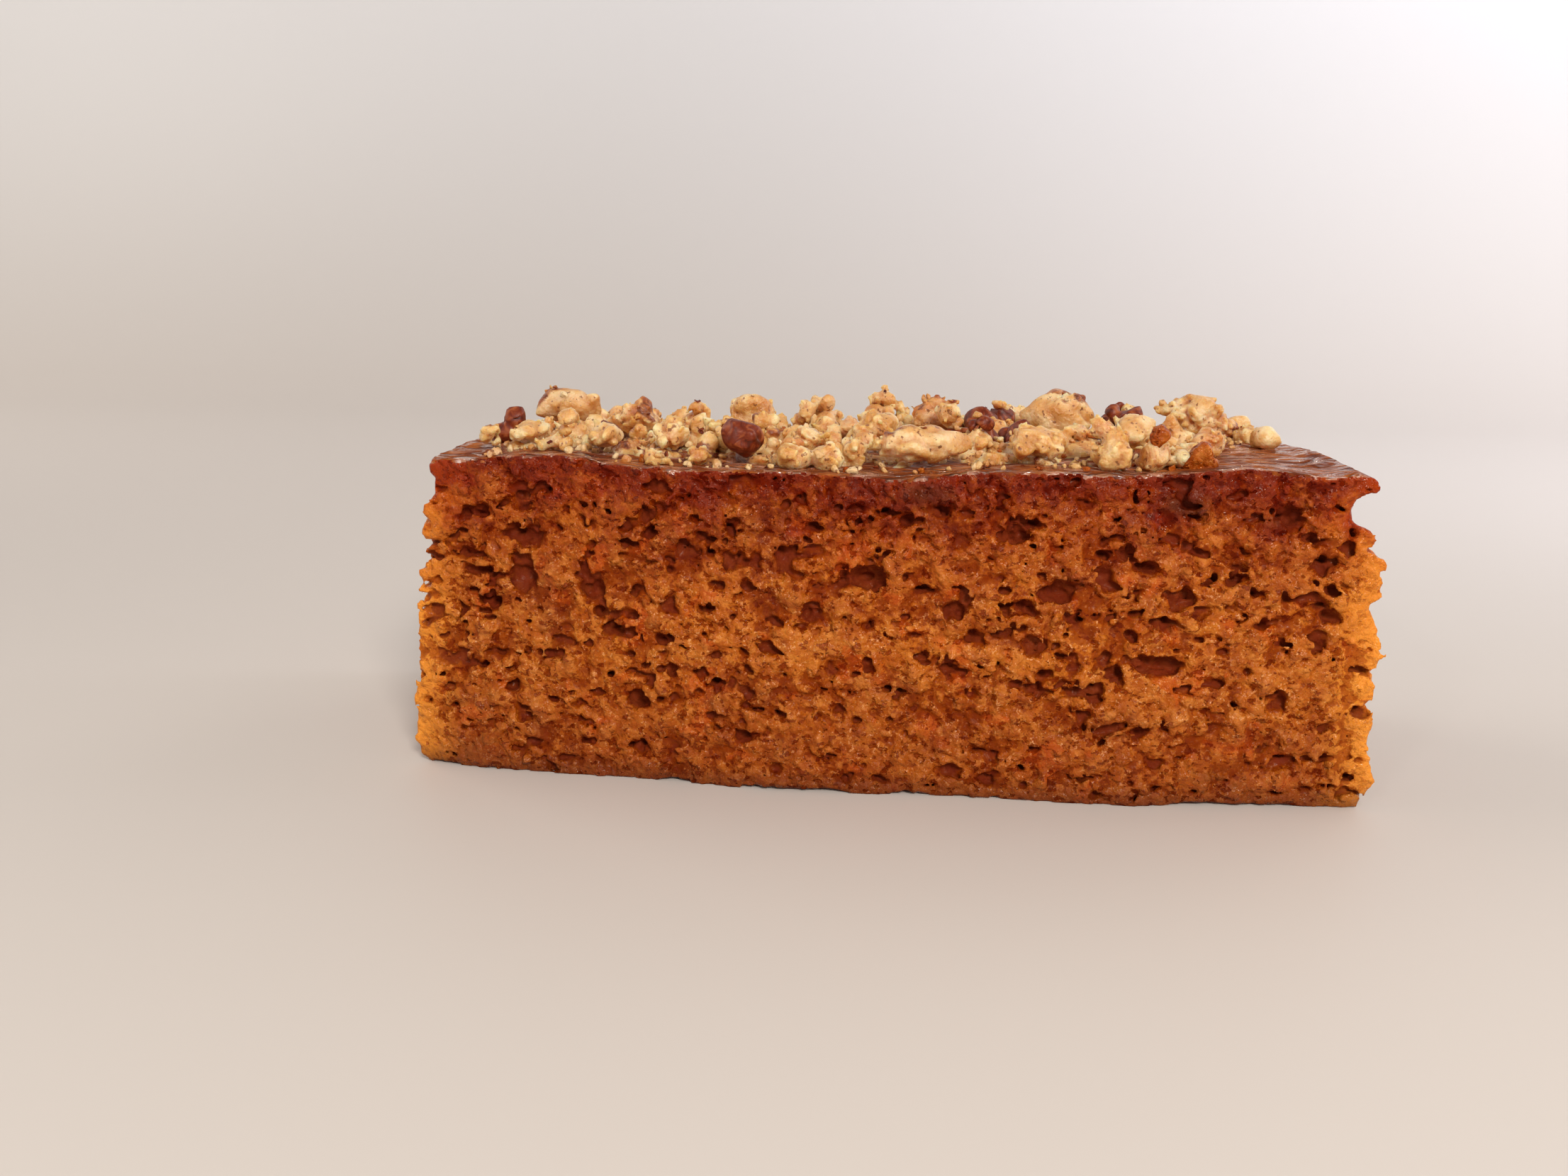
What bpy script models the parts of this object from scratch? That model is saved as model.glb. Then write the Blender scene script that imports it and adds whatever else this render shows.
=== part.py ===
# Finger of carrot cake with chopped walnuts, cut from a tray bake.
# Metres, +Z up. X runs along the finger, the cut face that shows most looks to -Y,
# and the origin is on the underside, in the middle of the whole cake.
import math
import random

import bmesh
import bpy
from mathutils import Matrix, Vector, noise

# The cut finger
CRUST_TOP = 0.0390          # mean height of the crust
CUT_FRONT = -0.0164         # front cut face at its two ends
CUT_BACK = 0.0190           # back cut face at its two ends
FRONT_BOW = 0.0032          # how far the front face swells forward at its foot
BACK_BOW = 0.0006
BOW_LOST_UPWARD = 0.45      # share of the swell that is gone at the crust
LEFT_END = (                # height, x of the left cut end, from the foot up
    (0.0000, -0.0562), (0.0012, -0.0574), (0.0050, -0.0576), (0.0150, -0.0568),
    (0.0245, -0.0556), (0.0284, -0.0555), (0.0328, -0.0545), (0.0346, -0.0534),
    (0.0365, -0.0533), (0.0380, -0.0538), (0.0390, -0.0534))
RIGHT_END = (               # the same for the right end, with the torn lip under the crust
    (0.0000, 0.0566), (0.0030, 0.0581), (0.0080, 0.0567), (0.0105, 0.0572),
    (0.0160, 0.0563), (0.0185, 0.0569), (0.0222, 0.0557), (0.0240, 0.0549),
    (0.0255, 0.0561), (0.0285, 0.0559), (0.0310, 0.0549), (0.0322, 0.0546),
    (0.0338, 0.0519), (0.0358, 0.0518), (0.0371, 0.0541), (0.0382, 0.0536),
    (0.0390, 0.0524))
CRUST_LINE = (              # x, height of the crust along the front edge
    (-0.0540, 0.0389), (-0.0400, 0.0394), (-0.0280, 0.0387), (-0.0120, 0.0380),
    (0.0000, 0.0382), (0.0120, 0.0386), (0.0280, 0.0390), (0.0420, 0.0394),
    (0.0490, 0.0390), (0.0530, 0.0398))
CRUST_BACK = 0.0393         # height of the crust along the back edge
CRUST_RIPPLE = 0.0003
CUT_WAVE = 0.0004           # long waves in the cut faces
END_WANDER = 0.0016         # how far a tear in a cut end climbs from front to back
CRAG = 0.0005               # crumbs that stand out of the cut faces

# Rows and columns of the cake's skin
ROWS = (0.0, 0.03, 0.08, 0.18, 0.28, 0.38, 0.48, 0.57, 0.65, 0.73, 0.79, 0.83, 0.87,
        0.915, 0.955, 1.0)
COLUMNS_LONG = 37
COLUMNS_DEEP = 12

# Pores in the cut faces
PORE_DEPTH = 0.0019
FRONT_PORES = (             # x, height, width, tallness of the largest in the front face
    (-0.0424, 0.0298, 0.0055, 0.0025), (-0.0425, 0.0251, 0.0037, 0.0043),
    (-0.0469, 0.0216, 0.0030, 0.0025), (-0.0339, 0.0236, 0.0035, 0.0028),
    (-0.0078, 0.0215, 0.0027, 0.0023), (-0.0012, 0.0262, 0.0052, 0.0030),
    (0.0087, 0.0227, 0.0034, 0.0024), (0.0204, 0.0253, 0.0047, 0.0028),
    (0.0277, 0.0297, 0.0029, 0.0020), (0.0340, 0.0247, 0.0038, 0.0025),
    (0.0450, 0.0341, 0.0037, 0.0023), (0.0493, 0.0292, 0.0033, 0.0021),
    (0.0322, 0.0169, 0.0059, 0.0022), (0.0178, 0.0191, 0.0032, 0.0025))
PORES_MORE = {"front": 14, "back": 24, "left": 7, "right": 7}
PORE_WIDTH = (0.0022, 0.0045)
PORE_FLATNESS = (0.45, 0.80)
PORE_BAND = (0.10, 0.86)    # share of the height where pores lie
PORE_SPACING = 0.0050
PORE_SEED = 5

# Chopped walnuts. Each large piece: x, y, length, depth, height, turn in degrees, brown or not
GAP = 0.0003
WALNUTS = (
    (-0.0432, -0.0092, 0.0058, 0.0050, 0.0036, 10, False),
    (-0.0430, 0.0058, 0.0100, 0.0066, 0.0064, -8, False),
    (-0.0331, -0.0122, 0.0054, 0.0052, 0.0044, 0, False),
    (-0.0325, 0.0010, 0.0072, 0.0058, 0.0062, 25, False),
    (-0.0255, -0.0100, 0.0052, 0.0050, 0.0048, 40, False),
    (-0.0167, -0.0126, 0.0060, 0.0054, 0.0064, -35, True),
    (-0.0180, 0.0070, 0.0062, 0.0058, 0.0068, 15, False),
    (-0.0098, -0.0068, 0.0058, 0.0052, 0.0052, 60, False),
    (-0.0010, -0.0030, 0.0070, 0.0058, 0.0060, -20, False),
    (0.0050, -0.0122, 0.0122, 0.0060, 0.0054, 7, False),
    (0.0062, 0.0078, 0.0078, 0.0060, 0.0060, -10, False),
    (0.0176, -0.0105, 0.0082, 0.0058, 0.0048, 14, False),
    (0.0225, 0.0070, 0.0104, 0.0074, 0.0070, 6, False),
    (0.0300, -0.0040, 0.0062, 0.0056, 0.0058, 50, False),
    (0.0410, 0.0105, 0.0104, 0.0070, 0.0068, -12, False))
LUMPINESS = 0.24
KNOBBLES = 0.14             # smaller lobes on the lumps
CHOPS = 4                   # flat faces the knife left on a piece
CHOP_AT = (0.66, 0.90)

# Small bits of walnut, stuck to the crust
BITS = 84
BIT_SIZE = (0.0026, 0.0062)
BIT_USUAL = 0.0042
BIT_APART = 0.36            # least distance of two bits, as a share of their added sizes
BIT_REACH = 0.46            # how far a bit may reach from its middle, as a share of its size
BIT_SUNK = 0.16             # share of a bit's height that is in the crust
BIT_SEED = 11
HEAP_LEFT = -0.0490
HEAP_FRONT = -0.0150
HEAP_BACK = 0.0165
HEAP_RIGHT_FRONT = 0.0330   # the heap's right border runs from here at the front
HEAP_RIGHT_BACK = 0.0500    # to here at the back
FIXED_BITS = (              # x, y, size of bits that have their own place in the heap
    (-0.0485, 0.0000, 0.0034), (0.0478, 0.0046, 0.0048), (0.0335, 0.0105, 0.0046),
    (0.0252, -0.0108, 0.0038), (-0.0080, 0.0075, 0.0048), (0.0155, 0.0035, 0.0042),
    (-0.0235, -0.0020, 0.0050), (0.0358, -0.0138, 0.0036))
LEAST_FACES_OF_A_BODY = 200
WELD = 0.000002


def clear_scene():
    for thing in list(bpy.data.objects):
        bpy.data.objects.remove(thing, do_unlink=True)


def read_line(line, at):
    """Height or place on a line of pairs, eased between them."""
    if at <= line[0][0]:
        return line[0][1]
    for (low, first), (high, last) in zip(line, line[1:]):
        if at <= high:
            share = (at - low) / (high - low)
            share = share * share * (3 - 2 * share)
            return first + (last - first) * share
    return line[-1][1]


def crust_height(x, y):
    """The crust sags a little along the front edge and is level at the back."""
    back = (y - CUT_FRONT) / (CUT_BACK - CUT_FRONT)
    back = min(max(back, 0.0), 1.0)
    back = back * back * (3 - 2 * back)
    front = read_line(CRUST_LINE, x)
    ripple = math.sin(x / 0.0041 + 1.3) * math.cos(y / 0.0052 + 0.4)
    return front + (CRUST_BACK - front) * back + CRUST_RIPPLE * ripple


def end_x(line, high, deep):
    """x of a cut end. Its torn places fade and wander from front to back."""
    mean = line[0][1] + (line[-1][1] - line[0][1]) * high
    slant = END_WANDER * math.sin(2.6 * (deep + 1.0)) * math.sin(math.pi * high)
    torn = read_line(line, high * CRUST_TOP + slant) - mean
    keep = 0.75 + 0.25 * math.cos(2.2 * (deep + 1.0))
    wave = CUT_WAVE * math.sin(3.1 * deep + 7.0 * high)
    return mean + torn * keep + wave * (deep + 1.0) / 2


def face_y(side, along, high):
    """y of the front or back cut face, which swells between its ends."""
    swell = (1 - along * along) * (1 - BOW_LOST_UPWARD * high)
    wave = CUT_WAVE * math.sin(9.0 * along + 3.0 * high) * (1 - along ** 4)
    if side < 0:
        return CUT_FRONT - FRONT_BOW * swell + wave
    return CUT_BACK + BACK_BOW * swell + wave


def cake_point(along, deep, high):
    """Place in the cake of shares along (-1 to 1), deep (-1 to 1) and high (0 to 1)."""
    left = end_x(LEFT_END, high, deep)
    right = end_x(RIGHT_END, high, deep)
    x = left + (right - left) * (along + 1) / 2
    front = face_y(-1, along, high)
    back = face_y(1, along, high)
    y = front + (back - front) * (deep + 1) / 2
    return Vector((x, y, high * crust_height(x, y)))


def rim_shares():
    """Shares along and deep of the columns round the cake, from the front left corner."""
    long_steps = [-1 + 2 * step / COLUMNS_LONG for step in range(COLUMNS_LONG)]
    deep_steps = [-1 + 2 * step / COLUMNS_DEEP for step in range(COLUMNS_DEEP)]
    rim = [(step, -1.0) for step in long_steps]
    rim += [(1.0, step) for step in deep_steps]
    rim += [(-step, 1.0) for step in long_steps]
    rim += [(-1.0, -step) for step in deep_steps]
    return rim


def outward(along, deep):
    way = Vector((along if abs(along) == 1.0 else 0.0, deep if abs(deep) == 1.0 else 0.0, 0.0))
    return way.normalized()


def cake_skin():
    """Closed skin of the finger: crumbly sides, a wavy crust and a flat underside."""
    draw = random.Random(PORE_SEED)
    mesh = bmesh.new()
    rim = rim_shares()
    rings = []
    for high in ROWS:
        ring = []
        for along, deep in rim:
            place = cake_point(along, deep, high)
            if 0.0 < high < 1.0:
                place += outward(along, deep) * draw.uniform(-CRAG, CRAG)
            ring.append(mesh.verts.new(place))
        rings.append(ring)
    count = len(rim)
    for lower, upper in zip(rings, rings[1:]):
        for step in range(count):
            after = (step + 1) % count
            mesh.faces.new((lower[step], lower[after], upper[after], upper[step]))
    mesh.faces.new(list(reversed(rings[0])))
    top = {}
    for step, (along, deep) in enumerate(rim):
        top[round(along, 5), round(deep, 5)] = rings[-1][step]

    def crust_vert(column, row):
        along = -1 + 2 * column / COLUMNS_LONG
        deep = -1 + 2 * row / COLUMNS_DEEP
        key = (round(along, 5), round(deep, 5))
        if key not in top:
            top[key] = mesh.verts.new(cake_point(along, deep, 1.0))
        return top[key]

    for column in range(COLUMNS_LONG):
        for row in range(COLUMNS_DEEP):
            mesh.faces.new((crust_vert(column, row), crust_vert(column + 1, row),
                            crust_vert(column + 1, row + 1), crust_vert(column, row + 1)))
    bmesh.ops.triangulate(mesh, faces=mesh.faces[:])
    bmesh.ops.recalc_face_normals(mesh, faces=mesh.faces[:])
    return mesh


def object_from(mesh, name, collection=None):
    data = bpy.data.meshes.new(name)
    mesh.to_mesh(data)
    mesh.free()
    made = bpy.data.objects.new(name, data)
    (collection or bpy.context.scene.collection).objects.link(made)
    return made


def pore_places():
    """Centre, axis across the face, width and tallness of every pore."""
    draw = random.Random(PORE_SEED)
    pores = {face: [] for face in PORES_MORE}
    for x, height, wide, tall in FRONT_PORES:
        pores["front"].append((x, height, wide, tall))
    for face, more in PORES_MORE.items():
        reach = 0.050 if face in ("front", "back") else 0.0125
        middle = 0.0 if face in ("front", "back") else (CUT_FRONT + CUT_BACK) / 2
        wanted = len(pores[face]) + more
        for _ in range(4000):
            if len(pores[face]) == wanted:
                break
            share = draw.uniform(0.0, 1.0)
            high = PORE_BAND[0] + (PORE_BAND[1] - PORE_BAND[0]) * share
            at = middle + draw.uniform(-reach, reach)
            height = high * CRUST_TOP
            wide = draw.uniform(*PORE_WIDTH) * (0.65 + 0.35 * share)
            tall = wide * draw.uniform(*PORE_FLATNESS)
            clear = all(math.hypot(at - other[0], 1.6 * (height - other[1])) > PORE_SPACING
                        + 0.3 * other[2] for other in pores[face])
            if clear:
                pores[face].append((at, height, wide, tall))
    return pores


def pore_cutters(pores):
    """One mesh of jagged lumps that bite into the faces."""
    draw = random.Random(PORE_SEED + 1)
    mesh = bmesh.new()
    for face, places in pores.items():
        for at, height, wide, tall in places:
            high = height / CRUST_TOP
            if face in ("front", "back"):
                side = -1 if face == "front" else 1
                along = at / 0.055
                centre = Vector((at, face_y(side, along, high), height))
                half = Vector((wide / 2, PORE_DEPTH, tall / 2))
            else:
                line = LEFT_END if face == "left" else RIGHT_END
                deep = 2 * (at - CUT_FRONT) / (CUT_BACK - CUT_FRONT) - 1
                centre = Vector((end_x(line, high, deep), at, height))
                half = Vector((PORE_DEPTH, wide / 2, tall / 2))
            made = bmesh.ops.create_icosphere(mesh, subdivisions=1, radius=1.0)
            spin = Matrix.Rotation(draw.uniform(-0.5, 0.5), 3, "Y")
            for vert in made["verts"]:
                out = spin @ vert.co * draw.uniform(0.92, 1.22)
                vert.co = centre + Vector((out.x * half.x, out.y * half.y, out.z * half.z))
    return object_from(mesh, "pore_cutters")


def walnut_lump(draw, half, turn, subdivisions):
    """A chopped piece of kernel: a lumpy ball with some flat cut faces."""
    mesh = bmesh.new()
    bmesh.ops.create_icosphere(mesh, subdivisions=subdivisions, radius=1.0)
    shift = Vector([draw.uniform(0.0, 50.0) for _ in range(3)])
    chops = []
    for _ in range(CHOPS):
        way = Vector([draw.gauss(0.0, 1.0) for _ in range(3)]).normalized()
        chops.append((way, draw.uniform(*CHOP_AT)))
    tilt = Matrix.Rotation(draw.uniform(-0.25, 0.25), 3, "X") @ Matrix.Rotation(
        draw.uniform(-0.2, 0.2), 3, "Y")
    spin = Matrix.Rotation(math.radians(turn), 3, "Z") @ tilt
    for vert in mesh.verts:
        place = vert.co.copy()
        place *= (1 + LUMPINESS * noise.noise(place * 1.7 + shift)
                  + KNOBBLES * noise.noise(place * 4.1 + shift))
        for way, at in chops:
            over = place.dot(way) - at
            if over > 0:
                place -= way * over
        vert.co = spin @ Vector((place.x * half.x, place.y * half.y, place.z * half.z))
    return mesh


def lift_onto_crust(mesh, x, y, gap):
    """Move a lump to its place so that its lowest part is a gap above the crust."""
    lift = -1.0
    for vert in mesh.verts:
        need = crust_height(x + vert.co.x, y + vert.co.y) + gap - vert.co.z
        lift = max(lift, need)
    bmesh.ops.translate(mesh, verts=mesh.verts[:], vec=Vector((x, y, lift)))


def make_walnuts():
    """The large pieces, each a solid of its own."""
    made = []
    for number, (x, y, long, deep, tall, turn, brown) in enumerate(WALNUTS, 1):
        draw = random.Random(100 + number)
        mesh = walnut_lump(draw, Vector((long / 2, deep / 2, tall / 2)), turn, 2)
        lift_onto_crust(mesh, x, y, GAP + CRUST_RIPPLE / 2)
        piece = object_from(mesh, f"walnut_{number:02d}")
        finish = "walnut_skin" if brown else "walnut_kernel"
        piece.data.materials.append(material(finish))
        made.append(piece)
    return made


def heap_right(y):
    share = (y - HEAP_FRONT) / (HEAP_BACK - HEAP_FRONT)
    return HEAP_RIGHT_FRONT + (HEAP_RIGHT_BACK - HEAP_RIGHT_FRONT) * share


def clear_of_walnuts(x, y, size):
    """True where a bit of this size keeps its gap to every large piece."""
    for wx, wy, long, deep, _, turn, _ in WALNUTS:
        across = Matrix.Rotation(-math.radians(turn), 2) @ Vector((x - wx, y - wy))
        reach_x = long / 2 * (1 + LUMPINESS / 3) + size * BIT_REACH + GAP
        reach_y = deep / 2 * (1 + LUMPINESS / 3) + size * BIT_REACH + GAP
        if (across.x / reach_x) ** 2 + (across.y / reach_y) ** 2 < 1:
            return False
    return True


def bit_places():
    """Places and sizes of the small bits, largest first, spread over the heap."""
    draw = random.Random(BIT_SEED)
    placed = [(x, y, size) for x, y, size in FIXED_BITS if clear_of_walnuts(x, y, size)]
    sizes = [draw.triangular(BIT_SIZE[0], BIT_SIZE[1], BIT_USUAL) for _ in range(BITS)]
    for size in sorted(sizes, reverse=True):
        for _ in range(300):
            y = draw.uniform(HEAP_FRONT, HEAP_BACK)
            x = draw.uniform(HEAP_LEFT, heap_right(y))
            near = any(math.hypot(x - ox, y - oy) < BIT_APART * (size + other)
                       for ox, oy, other in placed)
            if not near and clear_of_walnuts(x, y, size):
                placed.append((x, y, size))
                break
    return placed


def make_bits(collection):
    for number, (x, y, size) in enumerate(bit_places()):
        draw = random.Random(500 + number)
        half = Vector((1.0, draw.uniform(0.75, 1.0), draw.uniform(0.70, 1.0))) * size / 2
        mesh = walnut_lump(draw, half, draw.uniform(0, 360), 1)
        sunk = half.z * 2 * BIT_SUNK
        bmesh.ops.translate(mesh, verts=mesh.verts[:],
                            vec=Vector((x, y, crust_height(x, y) + half.z - sunk)))
        object_from(mesh, f"bit_{number:03d}", collection)


def apply_boolean(body, operation, solver, other=None, collection=None):
    cut = body.modifiers.new(operation.lower(), "BOOLEAN")
    cut.operation = operation
    cut.solver = solver
    if collection:
        cut.operand_type = "COLLECTION"
        cut.collection = collection
    else:
        cut.object = other
    graph = bpy.context.evaluated_depsgraph_get()
    result = bpy.data.meshes.new_from_object(body.evaluated_get(graph), depsgraph=graph)
    body.modifiers.clear()
    body.data = result


def keep_main_body(body):
    """Drop loose scraps, and fill hollows that the bits may have sealed."""
    mesh = bmesh.new()
    mesh.from_mesh(body.data)
    bmesh.ops.remove_doubles(mesh, verts=mesh.verts[:], dist=WELD)
    bmesh.ops.triangulate(mesh, faces=mesh.faces[:])
    seen = set()
    for start in mesh.faces[:]:
        if start in seen:
            continue
        island = [start]
        seen.add(start)
        for face in island:
            for edge in face.edges:
                for near in edge.link_faces:
                    if near not in seen:
                        seen.add(near)
                        island.append(near)
        if len(island) < LEAST_FACES_OF_A_BODY:
            bmesh.ops.delete(mesh, geom=island, context="FACES")
    mesh.to_mesh(body.data)
    mesh.free()


def material(name):
    found = bpy.data.materials.get(name)
    if found:
        return found
    colours = {
        "carrot_crumb": ((0.42, 0.15, 0.03, 1.0), 0.75),
        "walnut_kernel": ((0.70, 0.50, 0.27, 1.0), 0.60),
        "walnut_skin": ((0.17, 0.05, 0.02, 1.0), 0.55)}
    colour, rough = colours[name]
    made = bpy.data.materials.new(name)
    made.use_nodes = True
    shader = made.node_tree.nodes["Principled BSDF"]
    shader.inputs["Base Color"].default_value = colour
    shader.inputs["Roughness"].default_value = rough
    shader.inputs["Metallic"].default_value = 0.0
    return made


def make_cake():
    """The finger with its pores and the small bits of walnut fused to the crust."""
    body = object_from(cake_skin(), "cake")
    cutters = pore_cutters(pore_places())
    apply_boolean(body, "DIFFERENCE", "EXACT", other=cutters)
    bpy.data.objects.remove(cutters, do_unlink=True)
    bits = bpy.data.collections.new("bits")
    bpy.context.scene.collection.children.link(bits)
    make_bits(bits)
    apply_boolean(body, "UNION", "EXACT", collection=bits)
    for bit in list(bits.objects):
        bpy.data.objects.remove(bit, do_unlink=True)
    keep_main_body(body)
    body.data.materials.clear()
    body.data.materials.append(material("carrot_crumb"))
    return body


clear_scene()
make_cake()
make_walnuts()
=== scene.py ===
import math
import random

import bmesh
import bpy
import numpy as np
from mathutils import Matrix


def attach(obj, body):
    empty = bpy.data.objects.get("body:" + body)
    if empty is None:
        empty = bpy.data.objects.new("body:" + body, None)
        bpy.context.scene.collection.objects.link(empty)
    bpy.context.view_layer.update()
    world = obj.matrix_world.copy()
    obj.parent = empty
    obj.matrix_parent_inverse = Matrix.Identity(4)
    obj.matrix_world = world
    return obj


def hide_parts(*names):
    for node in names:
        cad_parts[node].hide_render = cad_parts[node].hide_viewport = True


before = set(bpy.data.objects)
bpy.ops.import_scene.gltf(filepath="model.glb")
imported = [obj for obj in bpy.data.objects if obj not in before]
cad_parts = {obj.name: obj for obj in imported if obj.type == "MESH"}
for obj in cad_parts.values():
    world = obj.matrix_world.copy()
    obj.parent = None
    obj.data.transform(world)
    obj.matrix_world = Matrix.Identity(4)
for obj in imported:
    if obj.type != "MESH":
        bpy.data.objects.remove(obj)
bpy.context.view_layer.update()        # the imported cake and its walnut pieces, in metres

import openvdb
from mathutils import Matrix, Vector, noise
from mathutils.bvhtree import BVHTree

# Lengths are in millimetres here, and meshes are turned to metres as they are made.
mm = 0.001
fullTurn = 6.283          # radians

print("carrot cake: frame loaded")


# Shared helpers

def toLinear(hexColour):
    # sRGB hex to the linear RGBA that the shaders take
    parts = [int(hexColour[i:i + 2], 16) / 255 for i in (1, 3, 5)]
    return tuple(p / 12.92 if p <= 0.04045 else ((p + 0.055) / 1.055) ** 2.4 for p in parts) + (1.0,)


def plug(tree, node, links):
    for socket, source in links.items():
        tree.links.new(source, node.inputs[socket])


def addNode(tree, kind, settings=None, links=None, stops=None):
    # adds one shader node: plain settings or socket values, incoming links, colour stops
    node = tree.nodes.new(kind)
    for key, value in (settings or {}).items():
        if isinstance(key, str) and hasattr(node, key):
            setattr(node, key, value)
        else:
            node.inputs[key].default_value = value
    plug(tree, node, links or {})
    if stops:
        ramp = node.color_ramp
        while len(ramp.elements) < len(stops):
            ramp.elements.new(0.5)
        for element, (place, colour) in zip(ramp.elements, stops):
            element.position = place
            element.color = toLinear(colour)
    return node


def newMaterial(name, settings):
    # a material with the plain values of its shader, and where on the piece it is asked for
    made = bpy.data.materials.new(name)
    made.use_nodes = True
    tree = made.node_tree
    tree.nodes.clear()
    shader = addNode(tree, "ShaderNodeBsdfPrincipled", settings)
    addNode(tree, "ShaderNodeOutputMaterial", links={"Surface": shader.outputs[0]})
    spot = addNode(tree, "ShaderNodeTexCoord").outputs["Object"]
    return made, tree, shader, spot


def namedValues(tree, spot, given, noises):
    # what steers a finish: the values that the mesh gives, and noises
    values = {name: addNode(tree, "ShaderNodeAttribute", {"attribute_name": name}).outputs["Fac"]
              for name in given}
    # each noise: size in mm, detail, roughness, bend and, where it isn't even, the stretch
    for name, (size, detail, rough, bend, *stretch) in noises.items():
        drawn = spot
        if stretch:
            drawn = addNode(tree, "ShaderNodeMapping", {"Scale": stretch[0]}, {"Vector": spot}).outputs[0]
        settings = {"Scale": 1 / (size * mm), "Detail": detail, "Roughness": rough, "Distortion": bend}
        values[name] = addNode(tree, "ShaderNodeTexNoise", settings, {"Vector": drawn}).outputs["Fac"]
    return values


def deriveValues(tree, values, rows):
    # more named values: one value times a number plus another, or a range stretched to new ends
    for name, (source, *rest) in rows.items():
        if len(rest) == 2:
            times, second = rest
            node = addNode(tree, "ShaderNodeMath", {"operation": "MULTIPLY_ADD", 1: times},
                           {0: values[source], 2: values[second]})
        else:
            ends = dict(zip(("From Min", "From Max", "To Min", "To Max"), rest))
            node = addNode(tree, "ShaderNodeMapRange", ends, {0: values[source]})
        values[name] = node.outputs[0]


def tintOver(tree, colour, values, layers):
    # lays tints over a colour, each with a share that one of the values steers
    for *steer, tint, way in layers:
        deriveValues(tree, values, {"share": steer})
        colour = addNode(tree, "ShaderNodeMix", {"data_type": "RGBA", "blend_type": way, 7: toLinear(tint)},
                         {0: values["share"], 6: colour}).outputs[2]
    return colour


def smoothStep(low, high, value):
    t = np.clip((value - low) / (high - low), 0, 1)
    return t * t * (3 - 2 * t)


def gridAxes(low, high, step):
    return [np.arange(a, b + step, step, dtype=np.float32) for a, b in zip(low, high)]


noiseBlur, noiseSpread, creaseHeight = 0.38, 0.62, 0.55      # blur in cells, spread of the values


def softNoise(axes, cell, seed):
    # smooth random field with lumps of the size of a cell and no grain along the axes
    shape = [len(a) for a in axes]
    waves = np.fft.rfftn(np.random.default_rng(seed).standard_normal(shape, dtype=np.float32))
    for way, width in enumerate(np.broadcast_to(np.asarray(cell, float), 3)):
        pitch = float(axes[way][1] - axes[way][0])
        often = np.fft.rfftfreq(shape[way], pitch) if way == 2 else np.fft.fftfreq(shape[way], pitch)
        fade = np.exp(-2 * (math.pi * noiseBlur * width * often) ** 2)
        waves *= fade.reshape([-1 if i == way else 1 for i in range(3)])
    field = np.fft.irfftn(waves, shape, axes=(0, 1, 2)).astype(np.float32)
    return field * (noiseSpread / field.std())


def nodules(axes, cell, seed):
    # round lumps with sharp creases between them: high in a crease, low on a lump
    return creaseHeight - np.abs(softNoise(axes, cell, seed))


def partOf(axes, step, low, high):
    # the cells of a grid between two corners, as slices
    first = [max(int((low[i] - axes[i][0]) / step), 0) for i in range(3)]
    last = [min(int((high[i] - axes[i][0]) / step) + 2, len(axes[i])) for i in range(3)]
    return tuple(slice(a, max(a, b)) for a, b in zip(first, last))


def surfaceOf(field, axes, step, coarse, least):
    # the zero surface of a field: points in mm, triangles and quads, without its small islands
    grid = openvdb.FloatGrid(step * 3)
    grid.copyFromArray(np.clip(field, -3 * step, 3 * step).astype(np.float32))
    points, triangles, quads = grid.convertToPolygons(isovalue=0.0, adaptivity=coarse)
    points = points * step + np.array([a[0] for a in axes], np.float32)
    return mainBody(points, [triangles.astype(np.int64), quads.astype(np.int64)], least)


def mainBody(points, faces, least):
    # drops islands of fewer than least points: bubbles that the cut didn't open and loose specks
    label = np.arange(len(points))
    edges = np.concatenate([np.stack([f[:, i], f[:, (i + 1) % f.shape[1]]], 1)
                            for f in faces if len(f) for i in range(f.shape[1])])
    while True:
        lower = np.minimum(label[edges[:, 0]], label[edges[:, 1]])
        after = label.copy()
        np.minimum.at(after, edges[:, 0], lower)
        np.minimum.at(after, edges[:, 1], lower)
        after = after[after]
        if (after == label).all():
            break
        label = after
    size = np.bincount(label, minlength=len(points))
    keep = size[label] >= least
    number = np.cumsum(keep) - 1
    return points[keep], [number[f[keep[f[:, 0]]]] if len(f) else f for f in faces]


def meshFrom(name, points, faces):
    # joins triangles and quads into one mesh, in metres
    data = bpy.data.meshes.new(name)
    corners = np.concatenate([f.ravel() for f in faces]).astype(np.int32)
    counts = np.concatenate([np.full(len(f), f.shape[1]) for f in faces])
    starts = np.concatenate([[0], np.cumsum(counts)[:-1]]).astype(np.int32)
    data.vertices.add(len(points))
    data.vertices.foreach_set("co", (points * mm).astype(np.float32).ravel())
    data.loops.add(len(corners))
    data.loops.foreach_set("vertex_index", corners)
    data.polygons.add(len(starts))
    data.polygons.foreach_set("loop_start", starts)
    data.update(calc_edges=True)
    data.validate()
    data.shade_smooth()
    made = bpy.data.objects.new(name, data)
    bpy.context.scene.collection.objects.link(made)
    return made


def giveValues(thing, given):
    # values for each point, which the finishes read by name
    for name, values in given.items():
        layer = thing.data.attributes.new(name, "FLOAT", "POINT")
        layer.data.foreach_set("value", values.astype(np.float32))


def sampleField(field, axes, step, points):
    # value of a grid field at each point, from the nearest cell
    place = [np.clip(np.rint((points[:, i] - axes[i][0]) / step).astype(int), 0, len(axes[i]) - 1)
             for i in range(3)]
    return field[tuple(place)]


# The form of the cake, as in the CAD

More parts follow.
